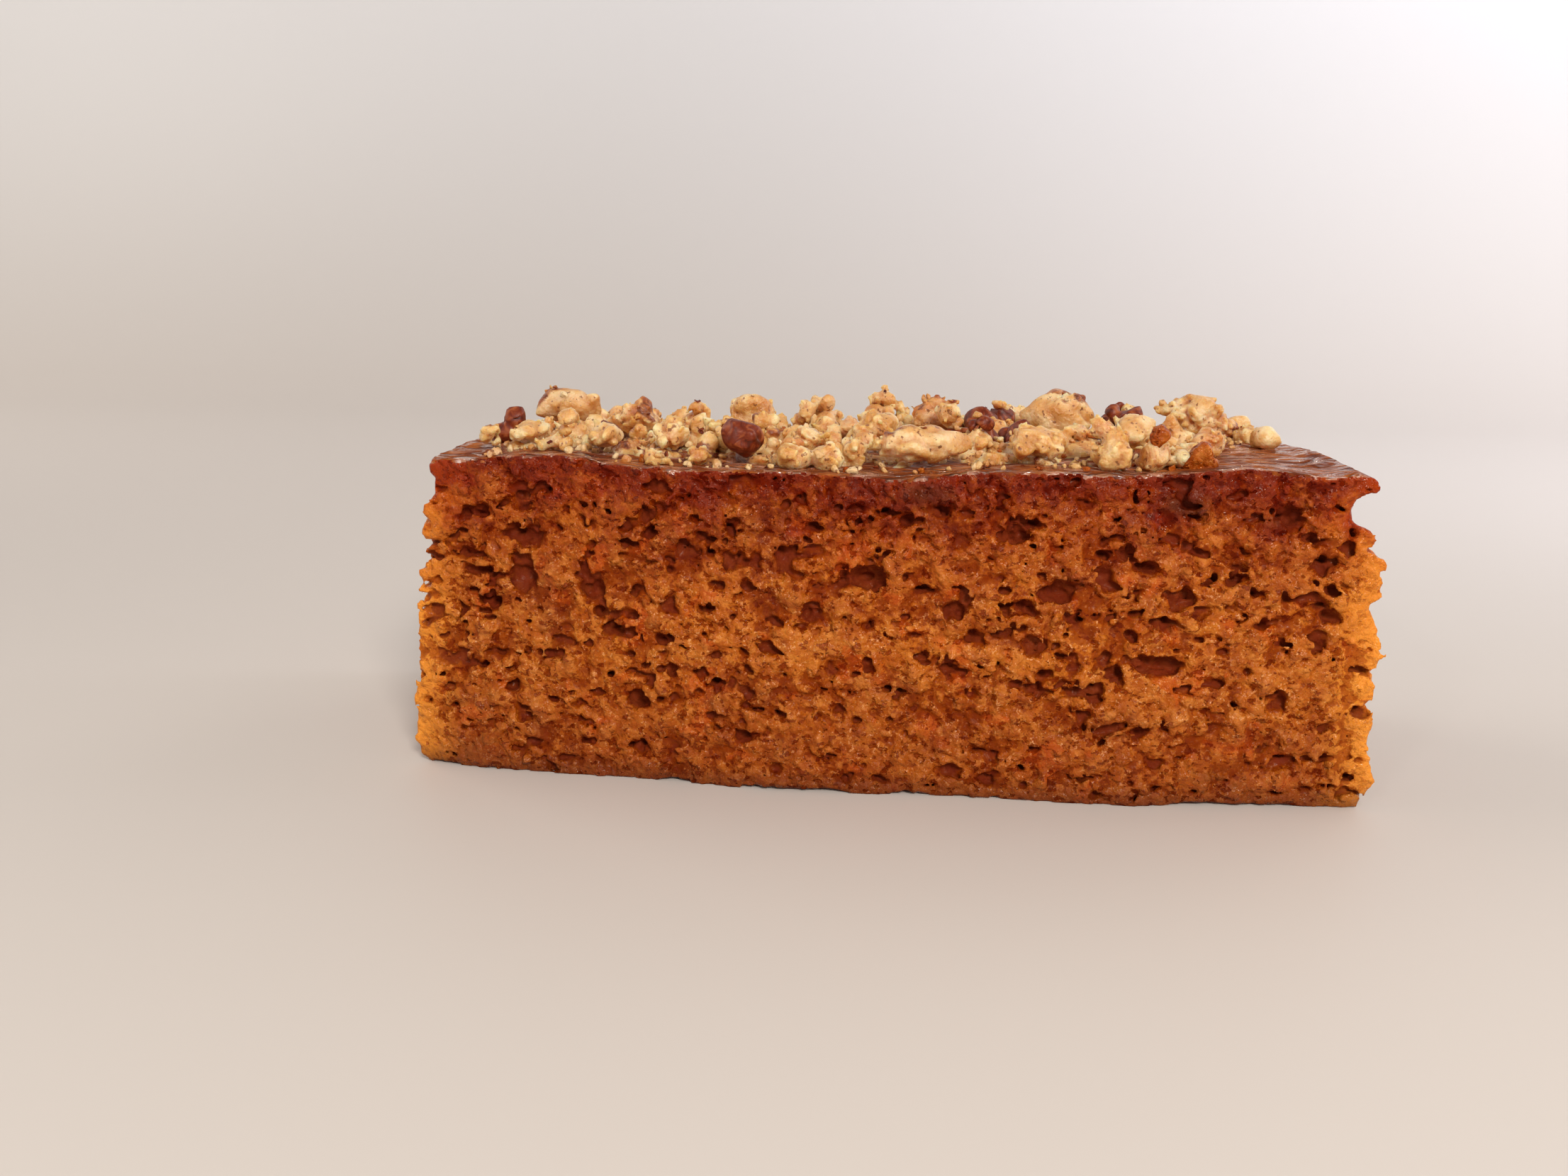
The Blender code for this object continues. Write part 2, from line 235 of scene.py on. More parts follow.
cake = {
    "crustTop": 39.0, "cutFront": -16.4, "cutBack": 19.0, "halfLong": 55.0,
    "frontBow": 3.2, "backBow": 0.6, "bowLostUpward": 0.45,
    # height and x of each cut end, from the foot up
    "leftEnd": ((0.0, -56.2), (1.2, -57.4), (5.0, -57.6), (15.0, -56.8), (24.5, -55.6), (28.4, -55.5),
                (32.8, -54.5), (34.6, -53.4), (36.5, -53.3), (38.0, -53.8), (39.0, -53.4)),
    "rightEnd": ((0.0, 56.6), (3.0, 58.1), (8.0, 56.7), (10.5, 57.2), (16.0, 56.3), (18.5, 56.9),
                 (22.2, 55.7), (24.0, 54.9), (25.5, 56.1), (28.5, 55.9), (31.0, 54.9), (32.2, 54.6),
                 (33.8, 51.9), (35.8, 51.8), (37.1, 54.1), (38.2, 53.6), (39.0, 52.4)),
    # x and height of the crust along its front edge
    "crustLine": ((-54.0, 38.9), (-40.0, 39.4), (-28.0, 38.7), (-12.0, 38.0), (0.0, 38.2), (12.0, 38.6),
                  (28.0, 39.0), (42.0, 39.4), (49.0, 39.0), (53.0, 39.8)),
    "crustBack": 39.3, "crustRipple": 0.3, "cutWave": 0.4, "endWander": 1.6,
}


def readLine(line, at):
    # the value along a line of places, eased from each place to the next
    places = np.array([p[0] for p in line])
    values = np.array([p[1] for p in line])
    at = np.clip(at, places[0], places[-1])
    step = np.clip(np.searchsorted(places, at, side="right") - 1, 0, len(places) - 2)
    share = smoothStep(0, 1, (at - places[step]) / (places[step + 1] - places[step]))
    return values[step] + (values[step + 1] - values[step]) * share


def crustHeight(x, y):
    # height of the crust over a spot
    back = smoothStep(cake["cutFront"], cake["cutBack"], y)
    front = readLine(cake["crustLine"], x)
    ripple = np.sin(x / 4.1 + 1.3) * np.cos(y / 5.2 + 0.4)
    return front + (cake["crustBack"] - front) * back + cake["crustRipple"] * ripple


def endX(line, high, deep):
    # x of a torn cut end, at shares of the height and the depth
    mean = line[0][1] + (line[-1][1] - line[0][1]) * high
    slant = cake["endWander"] * np.sin(2.6 * (deep + 1)) * np.sin(math.pi * high)
    torn = readLine(line, high * cake["crustTop"] + slant) - mean
    keep = 0.75 + 0.25 * np.cos(2.2 * (deep + 1))
    wave = cake["cutWave"] * np.sin(3.1 * deep + 7 * high)
    return mean + torn * keep + wave * (deep + 1) / 2


def faceY(side, along, high):
    # y of the front or back cut face, at shares of the length and the height
    swell = (1 - along * along) * (1 - cake["bowLostUpward"] * high)
    wave = cake["cutWave"] * np.sin(9 * along + 3 * high) * (1 - along ** 4)
    if side < 0:
        return cake["cutFront"] - cake["frontBow"] * swell + wave
    return cake["cutBack"] + cake["backBow"] * swell + wave


# Chopped walnuts: where the CAD has them

nuts = {
    # the large pieces: x, y, length, depth and turn in degrees
    "pieces": (
        (-43.2, -9.2, 5.8, 5.0, 10), (-43.0, 5.8, 10.0, 6.6, -8), (-33.1, -12.2, 5.4, 5.2, 0),
        (-32.5, 1.0, 7.2, 5.8, 25), (-25.5, -10.0, 5.2, 5.0, 40), (-16.7, -12.6, 6.0, 5.4, -35),
        (-18.0, 7.0, 6.2, 5.8, 15), (-9.8, -6.8, 5.8, 5.2, 60), (-1.0, -3.0, 7.0, 5.8, -20),
        (5.0, -12.2, 12.2, 6.0, 7), (6.2, 7.8, 7.8, 6.0, -10), (17.6, -10.5, 8.2, 5.8, 14),
        (22.5, 7.0, 10.4, 7.4, 6), (30.0, -4.0, 6.2, 5.6, 50), (41.0, 10.5, 10.4, 7.0, -12)),
    "gap": 0.3, "lumpiness": 0.24, "knobbles": 0.14, "chops": 4, "chopAt": (0.66, 0.90),
    # the bits: how many, least, most and usual size, how far apart and off the pieces as shares of it
    "bits": 84, "bitSize": (2.6, 6.2), "bitUsual": 4.2, "bitApart": 0.36, "bitReach": 0.46,
    "bitSunk": 0.16, "bitSeed": 11, "bitTries": 300, "bitShapeSeed": 500,
    "heapLeft": -49.0, "heapFront": -15.0, "heapBack": 16.5, "heapRightFront": 33.0, "heapRightBack": 50.0,
    # bits with a place of their own: x, y and size, and what each one is
    "fixedBits": ((-48.5, 0.0, 3.4), (47.8, 4.6, 4.8), (33.5, 10.5, 4.6), (25.2, -10.8, 3.8),
                  (-8.0, 7.5, 4.8), (15.5, 3.5, 4.2), (-23.5, -2.0, 5.0), (35.8, -13.8, 3.6)),
    "fixedLooks": ("skin", "waxy", "skin", "crumbly", "waxy", "skin", "crumbly", "cake"),
}


def heapRight(y):
    # the heap ends on a slant at the right
    share = (y - nuts["heapFront"]) / (nuts["heapBack"] - nuts["heapFront"])
    return nuts["heapRightFront"] + (nuts["heapRightBack"] - nuts["heapRightFront"]) * share


def clearOfPieces(x, y, size):
    for px, py, long, deep, turn in nuts["pieces"]:
        turned = math.radians(-turn)
        ax = math.cos(turned) * (x - px) - math.sin(turned) * (y - py)
        ay = math.sin(turned) * (x - px) + math.cos(turned) * (y - py)
        reachX, reachY = (span / 2 * (1 + nuts["lumpiness"] / 3) + size * nuts["bitReach"] + nuts["gap"]
                          for span in (long, deep))
        if (ax / reachX) ** 2 + (ay / reachY) ** 2 < 1:
            return False
    return True


def bitPlaces():
    # the same seeded draws as the CAD's bits
    draw = random.Random(nuts["bitSeed"])
    placed = [spot for spot in nuts["fixedBits"] if clearOfPieces(*spot)]
    low, high = nuts["bitSize"]
    sizes = [draw.triangular(low, high, nuts["bitUsual"]) for _ in range(nuts["bits"])]
    for size in sorted(sizes, reverse=True):
        for _ in range(nuts["bitTries"]):
            y = draw.uniform(nuts["heapFront"], nuts["heapBack"])
            x = draw.uniform(nuts["heapLeft"], heapRight(y))
            near = any(math.hypot(x - ox, y - oy) < nuts["bitApart"] * (size + other)
                       for ox, oy, other in placed)
            if not near and clearOfPieces(x, y, size):
                placed.append((x, y, size))
                break
    return placed


def chopOff(place, chops, share):
    # cuts a point back to the flat sides that it stands out of
    for way, at in chops:
        over = place.dot(way) - at
        if over > 0:
            place -= way * over * share
    return place


def anyWay(draw):
    return Vector([draw.gauss(0, 1) for _ in range(3)]).normalized()


def bitShape(number, size):
    # corners of a bit, drawn as the CAD draws them
    draw = random.Random(nuts["bitShapeSeed"] + number)
    half = Vector((1.0, draw.uniform(0.75, 1.0), draw.uniform(0.70, 1.0))) * size / 2
    turn = draw.uniform(0, 360)
    ball = bmesh.new()
    bmesh.ops.create_icosphere(ball, subdivisions=1, radius=1.0)
    shift = Vector([draw.uniform(0.0, 50.0) for _ in range(3)])
    chops = [(anyWay(draw), draw.uniform(*nuts["chopAt"])) for _ in range(nuts["chops"])]
    tilt = Matrix.Rotation(draw.uniform(-0.25, 0.25), 3, "X")
    tilt = tilt @ Matrix.Rotation(draw.uniform(-0.2, 0.2), 3, "Y")
    spin = Matrix.Rotation(math.radians(turn), 3, "Z") @ tilt
    corners = []
    for vert in ball.verts:
        place = vert.co.copy()
        place *= (1 + nuts["lumpiness"] * noise.noise(place * 1.7 + shift)
                  + nuts["knobbles"] * noise.noise(place * 4.1 + shift))
        place = chopOff(place, chops, 1.0)
        corners.append(spin @ Vector((place.x * half.x, place.y * half.y, place.z * half.z)))
    ball.free()
    return corners, half.z


def hullPlanes(corners):
    # outward normals and distances of the hull's faces
    hull = bmesh.new()
    for corner in corners:
        hull.verts.new(corner)
    made = bmesh.ops.convex_hull(hull, input=hull.verts)
    loose = {g for g in made["geom_interior"] + made["geom_unused"] if isinstance(g, bmesh.types.BMVert)}
    bmesh.ops.delete(hull, geom=list(loose), context="VERTS")
    bmesh.ops.recalc_face_normals(hull, faces=hull.faces[:])
    hull.normal_update()
    normals = np.array([f.normal for f in hull.faces])
    offsets = np.array([f.normal.dot(f.verts[0].co) for f in hull.faces])
    hull.free()
    return normals, offsets


def softMax(first, second, blend):
    share = np.clip(0.5 + 0.5 * (first - second) / blend, 0, 1)
    return second * (1 - share) + first * share + blend * share * (1 - share)


# The broken faces of a kernel and its relief: cells and heights in mm
kernelRelief = {
    "edges": 4.0,                  # per mm, rounds the hull's edges
    "faceBlend": 0.12, "faceMost": 0.9,
    "patches": (3.2, -0.35, 0.45),        # cell of the smooth and the granular places, and where they part
    "lobes": (2.9, 0.50), "lobeGrain": (1.2, 0.06),
    # cell, height and seed of the knobs
    "knobs": ((2.4, 0.55, 4), (1.3, 0.42, 0), (0.75, 0.32, 1)),
}


def brokenHull(axes, corners, breaks, least, seed):
    # the hull with its edges rounded and some flat broken faces, as a distance in mm
    normals, offsets = hullPlanes(corners)
    place = np.stack(np.meshgrid(*axes, indexing="ij"), -1)
    sides = place @ normals.T.astype(np.float32) - offsets.astype(np.float32)
    sharp = kernelRelief["edges"]
    top = sides.max(-1)
    form = top + np.log(np.exp(np.clip(sharp * (sides - top[..., None]), -30, 0)).sum(-1)) / sharp
    draw = np.random.default_rng(seed)
    points = np.array(corners)
    middle, reach = points.mean(0), (points.max(0) - points.min(0)) / 2
    for _ in range(breaks):
        way = draw.standard_normal(3)
        way /= np.linalg.norm(way)
        way[2] = abs(way[2])              # the faces that show are the broken ones
        at = draw.uniform(least, kernelRelief["faceMost"]) * np.linalg.norm(reach * way)
        form = softMax(form, (place - middle) @ way.astype(np.float32) - at, kernelRelief["faceBlend"])
    return form


def meatRelief(axes, seed, crumbly):
    # relief of broken kernel: some places smooth creased lobes, the others granular
    cell, low, high = kernelRelief["patches"]
    broken = smoothStep(low, high, softNoise(axes, cell, seed + 2) + crumbly)
    lobeCell, lobeHeight = kernelRelief["lobes"]
    grainCell, grainHeight = kernelRelief["lobeGrain"]
    lobes = (lobeHeight * nodules(axes, lobeCell, seed + 3)
             + grainHeight * softNoise(axes, grainCell, seed + 1))
    knobs = sum(height * nodules(axes, cell, seed + more) for cell, height, more in kernelRelief["knobs"])
    return broken * knobs + (1 - broken) * lobes


print("carrot cake: helpers ready")

# The cake's crumb, as a level set

crumb = {
    "voxel": 0.30, "coarse": 0.10, "leastIsland": 2000,
    "low": (-58.2, -20.6, -1.4), "high": (58.6, 20.6, 42.5), "margin": (1.6, 1.6, 0.0),
    # relief of the cut face: cell and height in mm
    "swell": (2.6, 0.28), "lump": (1.5, 0.42), "grain": (0.80, 0.30), "fine": (0.60, 0.05),
    "crustNoise": ((1.5, 1.8, 4.0), 0.12),
    # where the relief grows calm: under the crust, over the foot, in from the ends, and the shares lost
    "calmCrust": (-1.2, -0.2), "calmFoot": (0.3, 1.6), "calmEnds": (0.5, 3.5),
    "calmShares": (0.2, 0.6, 0.45),
    # the lower edge lifts here and there: height, cell, how much of it, most, how far in
    "footLift": (0.55, (5, 5, 40), 0.3, 1.4, 3.5),
    # the large pores: they grow with the height, and keep apart, more so upwards and the wider they are
    "poreSeed": 5, "poreBand": (0.10, 0.86), "poreTries": 4000,
    "poreGrowth": (0.65, 0.35), "poreApart": (5.0, 1.6, 0.3),
    "poreReach": {"front": 50.0, "back": 50.0, "left": 12.5, "right": 12.5},
    "poreWidth": (2.2, 4.5), "poreFlatness": (0.45, 0.80),
    # pores with a place of their own: x, z, width and height
    "frontPores": ((-42.4, 29.8, 5.5, 2.5), (-42.5, 25.1, 3.7, 4.3), (-46.9, 21.6, 3.0, 2.5),
                   (-33.9, 23.6, 3.5, 2.8), (-7.8, 21.5, 2.7, 2.3), (-1.2, 26.2, 5.2, 3.0),
                   (8.7, 22.7, 3.4, 2.4), (20.4, 25.3, 4.7, 2.8), (27.7, 29.7, 2.9, 2.0),
                   (34.0, 24.7, 3.8, 2.5), (45.0, 34.1, 3.7, 2.3), (49.3, 29.2, 3.3, 2.1),
                   (32.2, 16.9, 5.9, 2.2), (17.8, 19.1, 3.2, 2.5)),
    "poresMore": {"front": 14, "back": 24, "left": 7, "right": 7},
    "furtherPores": ((-47.5, 25.2, 3.6, 1.5), (-27.1, 33.0, 2.2, 2.2), (5.3, 25.2, 2.8, 1.0),
                     (16.6, 23.6, 2.3, 1.8), (22.5, 22.3, 2.8, 1.1), (32.2, 21.9, 3.8, 1.4),
                     (47.8, 31.9, 3.2, 1.4), (37.2, 26.9, 2.8, 1.4), (11.1, 19.6, 2.8, 2.1),
                     (24.0, 10.6, 2.5, 1.8), (8.5, 15.7, 3.4, 1.1), (-5.4, 15.2, 1.9, 1.8),
                     (-3.5, 12.7, 2.0, 1.3), (13.5, 2.3, 3.0, 1.4)),
    # bubbles in a pore: one below the first width, and otherwise two and one more for each second width
    "carveSeed": 31, "bubbles": (1.1, 1.6), "bubbleSize": (0.45, 0.72), "bubbleTall": 1.2,
    "bubbleShift": 0.3, "bubbleDepth": (0.7, 1.0), "bubbleInward": (0.0, 0.45),
    "depth": (0.75, 0.36), "depthVary": (0.8, 1.25),     # of a pore, in mm and as a share of its width
    # how ragged a pore's rim is: share of the grain, cell and height of the burrs
    "jag": 0.58, "burrs": (0.9, 0.75, 0.5),
    "rimDepth": (1.1, 0.9, 0.2),             # the raggedness fades inward, down to a share
    "wander": (0.95, 0.40, 0.7),             # how far a pore's outline wanders: cell, across, share upward
    # pores of middling size: number for each square mm, least and most width, and the band they lie in
    "middling": (0.032, 1.4, 3.3), "middlingBand": (1.5, 35.5), "middlingHigh": 36,
    "airy": ((2, 17), (29, 35), 0.45),       # they grow over the foot and shrink again under the crust
    # half length and middle of each cut face
    "cutArea": {"front": (56.0, 0.0), "back": (56.0, 0.0), "left": (18.5, 1.3), "right": (18.5, 1.3)},
    # small torn pores: cell, share and seed of the noises, and where they begin
    "torn": (((2.1, 2.1, 1.3), 1.0, 6), ((1.1, 1.0, 0.7), 0.62, 7), (9.0, 0.20, 8)),
    "tornFrom": 0.84, "tornScale": 0.62, "tornRim": 0.85,     # mm for each unit, share of the raggedness
    "tornDepth": 0.95, "tornFloor": 1.4, "tornUnder": 0.5,    # depth, how fast they close, below the crust
    "tornFewer": ((1, 14, 0.42), (-7, -1, 0.36), 0.08),   # near the foot, near the crust, at the ends
    # dark wet places just under the crust and browner ones lower down: x, z, half sizes, strength
    "stainSpread": 1.25,
    "stains": ((33.4, 35.4, 3.6, 2.3, 1.0), (5.2, 36.0, 4.4, 1.9, 0.9), (-47.0, 21.8, 3.2, 2.0, 0.4),
               (44.0, 33.6, 3.6, 2.0, 0.5), (26.0, 9.5, 7.0, 2.4, 0.4), (-50.0, 3.0, 4.0, 2.4, 0.5),
               (40.0, 3.4, 6.0, 2.2, 0.5), (-13.0, 6.5, 7.0, 2.0, 0.3)),
    "crusty": (0.5, 0.35),                   # the crust's faces: depth in mm, least slope
}


def depthShare(y):
    return 2 * (y - cake["cutFront"]) / (cake["cutBack"] - cake["cutFront"]) - 1


def porePlaces():
    # the large pores, with the same draws as the CAD's
    draw = random.Random(crumb["poreSeed"])
    pores = {face: [] for face in crumb["poresMore"]}
    pores["front"] = list(crumb["frontPores"])
    low, high = crumb["poreBand"]
    least, grown = crumb["poreGrowth"]
    spacing, upward, perWidth = crumb["poreApart"]
    for face, more in crumb["poresMore"].items():
        reach = crumb["poreReach"][face]
        middle = 0.0 if face in ("front", "back") else (cake["cutFront"] + cake["cutBack"]) / 2
        wanted = len(pores[face]) + more
        for _ in range(crumb["poreTries"]):
            if len(pores[face]) == wanted:
                break
            share = draw.uniform(0.0, 1.0)
            at = middle + draw.uniform(-reach, reach)
            height = (low + (high - low) * share) * cake["crustTop"]
            width = draw.uniform(*crumb["poreWidth"]) * (least + grown * share)
            tall = width * draw.uniform(*crumb["poreFlatness"])
            if all(math.hypot(at - o[0], upward * (height - o[1])) > spacing + perWidth * o[2]
                   for o in pores[face]):
                pores[face].append((at, height, width, tall))
    pores["front"] += crumb["furtherPores"]
    return pores


def middlingPores(draw):
    # pores of middling size, all over the cut faces, smaller and flatter near the foot and the crust
    per, least, most = crumb["middling"]
    low, high, lost = crumb["airy"]
    for face, (half, middle) in crumb["cutArea"].items():
        for _ in range(int(per * 2 * half * crumb["middlingHigh"])):
            at = middle + draw.uniform(-half, half)
            height = draw.uniform(*crumb["middlingBand"])
            airy = smoothStep(*low, height) * (1 - lost * smoothStep(*high, height))
            wide = least + (most - least) * draw.random() ** 1.5 * (0.3 + 0.7 * airy)
            tall = wide * draw.uniform(0.35, 0.85) * (0.72 + 0.28 * airy)
            yield face, (at, height, wide, tall)


def facePlace(face, at, height, inward):
    # a spot on a cut face, some way inward
    high = height / cake["crustTop"]
    if face == "front":
        return np.array([at, faceY(-1, at / cake["halfLong"], high) + inward, height])
    if face == "back":
        return np.array([at, faceY(1, at / cake["halfLong"], high) - inward, height])
    line, way = (cake["leftEnd"], 1) if face == "left" else (cake["rightEnd"], -1)
    return np.array([endX(line, high, depthShare(at)) + way * inward, at, height])


def carve(field, axes, centre, half, ragged):
    # takes one ragged bubble out of the field
    step = crumb["voxel"]
    reach = half * 1.4 + 3 * step
    part = partOf(axes, step, centre - reach, centre + reach)
    x, y, z = np.ix_(*[a[p] for a, p in zip(axes, part)])
    # the outline wanders along the cut face, not into it
    if half[1] < half[0]:
        x = x + ragged["across"][part]
    else:
        y = y + ragged["across"][part]
    z = z + ragged["up"][part]
    far = np.sqrt(((x - centre[0]) / half[0]) ** 2 + ((y - centre[1]) / half[1]) ** 2
                  + ((z - centre[2]) / half[2]) ** 2)
    bubble = (far - 1) * half.min() + ragged["rim"][part]
    field[part] = np.maximum(field[part], -bubble)


def carvePore(field, axes, face, pore, ragged, draw):
    # a torn pore is several shallow bubbles that ran together
    at, height, wide, tall = pore
    narrow, perBubble = crumb["bubbles"]
    bubbles = 1 if wide < narrow else 2 + int(wide / perBubble)
    flat, perWidth = crumb["depth"]
    depth = (flat + perWidth * wide) * draw.uniform(*crumb["depthVary"])
    begin, shift = draw.uniform(0, fullTurn), crumb["bubbleShift"]
    for number in range(bubbles):
        part = 1.0 if bubbles == 1 else draw.uniform(*crumb["bubbleSize"])
        turn = begin + fullTurn * (number + draw.uniform(-shift, shift)) / bubbles
        across = math.cos(turn) * wide / 2 * (1 - part)
        up = math.sin(turn) * tall / 2 * (1 - part)
        half = np.array([wide / 2 * part, depth * draw.uniform(*crumb["bubbleDepth"]),
                         tall / 2 * min(1.0, part * crumb["bubbleTall"])])
        spot = facePlace(face, at + across, height + up, draw.uniform(*crumb["bubbleInward"]))
        if face in ("left", "right"):
            half = half[[1, 0, 2]]
        carve(field, axes, spot, half, ragged)


def cutBlock(axes):
    # distances in mm out of the two ends, the two long cut faces and the crust
    x, y, z = np.ix_(*axes)
    top = crustHeight(x, y)
    share = np.clip(z / top, 0, 1)
    deep = np.clip(depthShare(y), -1, 1)
    left = endX(cake["leftEnd"], share, deep)
    right = endX(cake["rightEnd"], share, deep)
    along = np.clip(2 * (x - left) / (right - left) - 1, -1, 1)
    ends = np.maximum(left - x, x - right)
    long = np.maximum(faceY(-1, along, share) - y, y - faceY(1, along, share))
    return ends, long, (z - top).astype(np.float32)


def crumbMesh():
    step = crumb["voxel"]
    axes = gridAxes([a - m for a, m in zip(crumb["low"], crumb["margin"])],
                    [a + m for a, m in zip(crumb["high"], crumb["margin"])], step)
    z = np.ix_(*axes)[2]
    ends, long, crust = cutBlock(axes)
    cuts = np.maximum(ends, long).astype(np.float32)
    swell, lump, grain, fine = [crumb[name] for name in ("swell", "lump", "grain", "fine")]
    grains = nodules(axes, grain[0], 2)
    rough = (swell[1] * softNoise(axes, swell[0], 1) + lump[1] * nodules(axes, lump[0], 3)
             + grain[1] * grains + fine[1] * softNoise(axes, fine[0], 9))
    calmTop = smoothStep(*crumb["calmCrust"], crust)         # the crumb is finer close under the crust
    calmFoot = 1 - smoothStep(*crumb["calmFoot"], z)
    calmEnds = 1 - smoothStep(*crumb["calmEnds"], -ends)     # and no coarse lumps stand out of the ends
    topLess, footLess, endLess = crumb["calmShares"]
    ragged = cuts + rough * (1 - topLess * calmTop) * (1 - footLess * calmFoot) * (1 - endLess * calmEnds)
    cell, tall = crumb["crustNoise"]
    skin = crust + tall * softNoise(axes, cell, 4)
    tall, cell, more, most, inward = crumb["footLift"]
    lift = tall * np.clip(softNoise(axes, cell, 14) + more, 0, most) * smoothStep(-inward, 0.0, cuts)
    field = np.maximum(np.maximum(ragged, skin), lift - z).astype(np.float32)
    whole = np.maximum(np.maximum(cuts, crust), -z)
    # rims are ragged, while the walls further in are smooth
    share, cell, tall = crumb["burrs"]
    jagged = share * grains + tall * softNoise(axes, cell, 5)
    begins, fade, rest = crumb["rimDepth"]
    wander, across, upward = crumb["wander"]
    torn = {"rim": crumb["jag"] * jagged * np.clip(begins + cuts / fade, rest, 1),
            "across": across * softNoise(axes, wander, 11),
            "up": upward * across * softNoise(axes, wander, 12)}
    draw = random.Random(crumb["carveSeed"])
    for face, places in porePlaces().items():
        for pore in places:
            carvePore(field, axes, face, pore, torn, draw)
    for face, pore in middlingPores(draw):
        carvePore(field, axes, face, pore, torn, draw)
    # the small pores: torn shapes, wider than high, in clusters, fewer near the foot and the crust
    small = sum(share * softNoise(axes, cell, seed) for cell, share, seed in crumb["torn"])
    (footLow, footHigh, atFoot), (crustLow, crustHigh, atCrust), atEnds = crumb["tornFewer"]
    fewer = (atFoot * (1 - smoothStep(footLow, footHigh, z))
             + atCrust * smoothStep(crustLow, crustHigh, crust))
    holes = (crumb["tornScale"] * (small - crumb["tornFrom"] - fewer - atEnds * calmEnds)
             + crumb["tornRim"] * torn["rim"]
             - crumb["tornFloor"] * np.maximum(-cuts - crumb["tornDepth"], 0))
    field = np.where(crust < -crumb["tornUnder"], np.maximum(field, holes), field).astype(np.float32)
    points, faces = surfaceOf(field, axes, step, crumb["coarse"], crumb["leastIsland"])
    stain = np.zeros(len(points))
    for sx, sz, halfX, halfZ, strength in crumb["stains"]:
        away = np.sqrt(((points[:, 0] - sx) / halfX) ** 2 + ((points[:, 2] - sz) / halfZ) ** 2)
        stain = np.maximum(stain, strength * (crumb["stainSpread"] - away) * (points[:, 1] < 0))
    made = meshFrom("cake_crumb", points, faces)
    giveValues(made, {"pit": -sampleField(whole, axes, step, points),
                      "crustDepth": crustHeight(points[:, 0], points[:, 1]) - points[:, 2],
                      # how far from the upright edges, where a glow of light coming through is painted
                      "edgeDepth": -sampleField(np.minimum(ends, long), axes, step, points),
                      "stain": stain})
    print("carrot cake: crumb has", len(points), "points,", len(faces[0]) + 2 * len(faces[1]), "triangles")
    return made


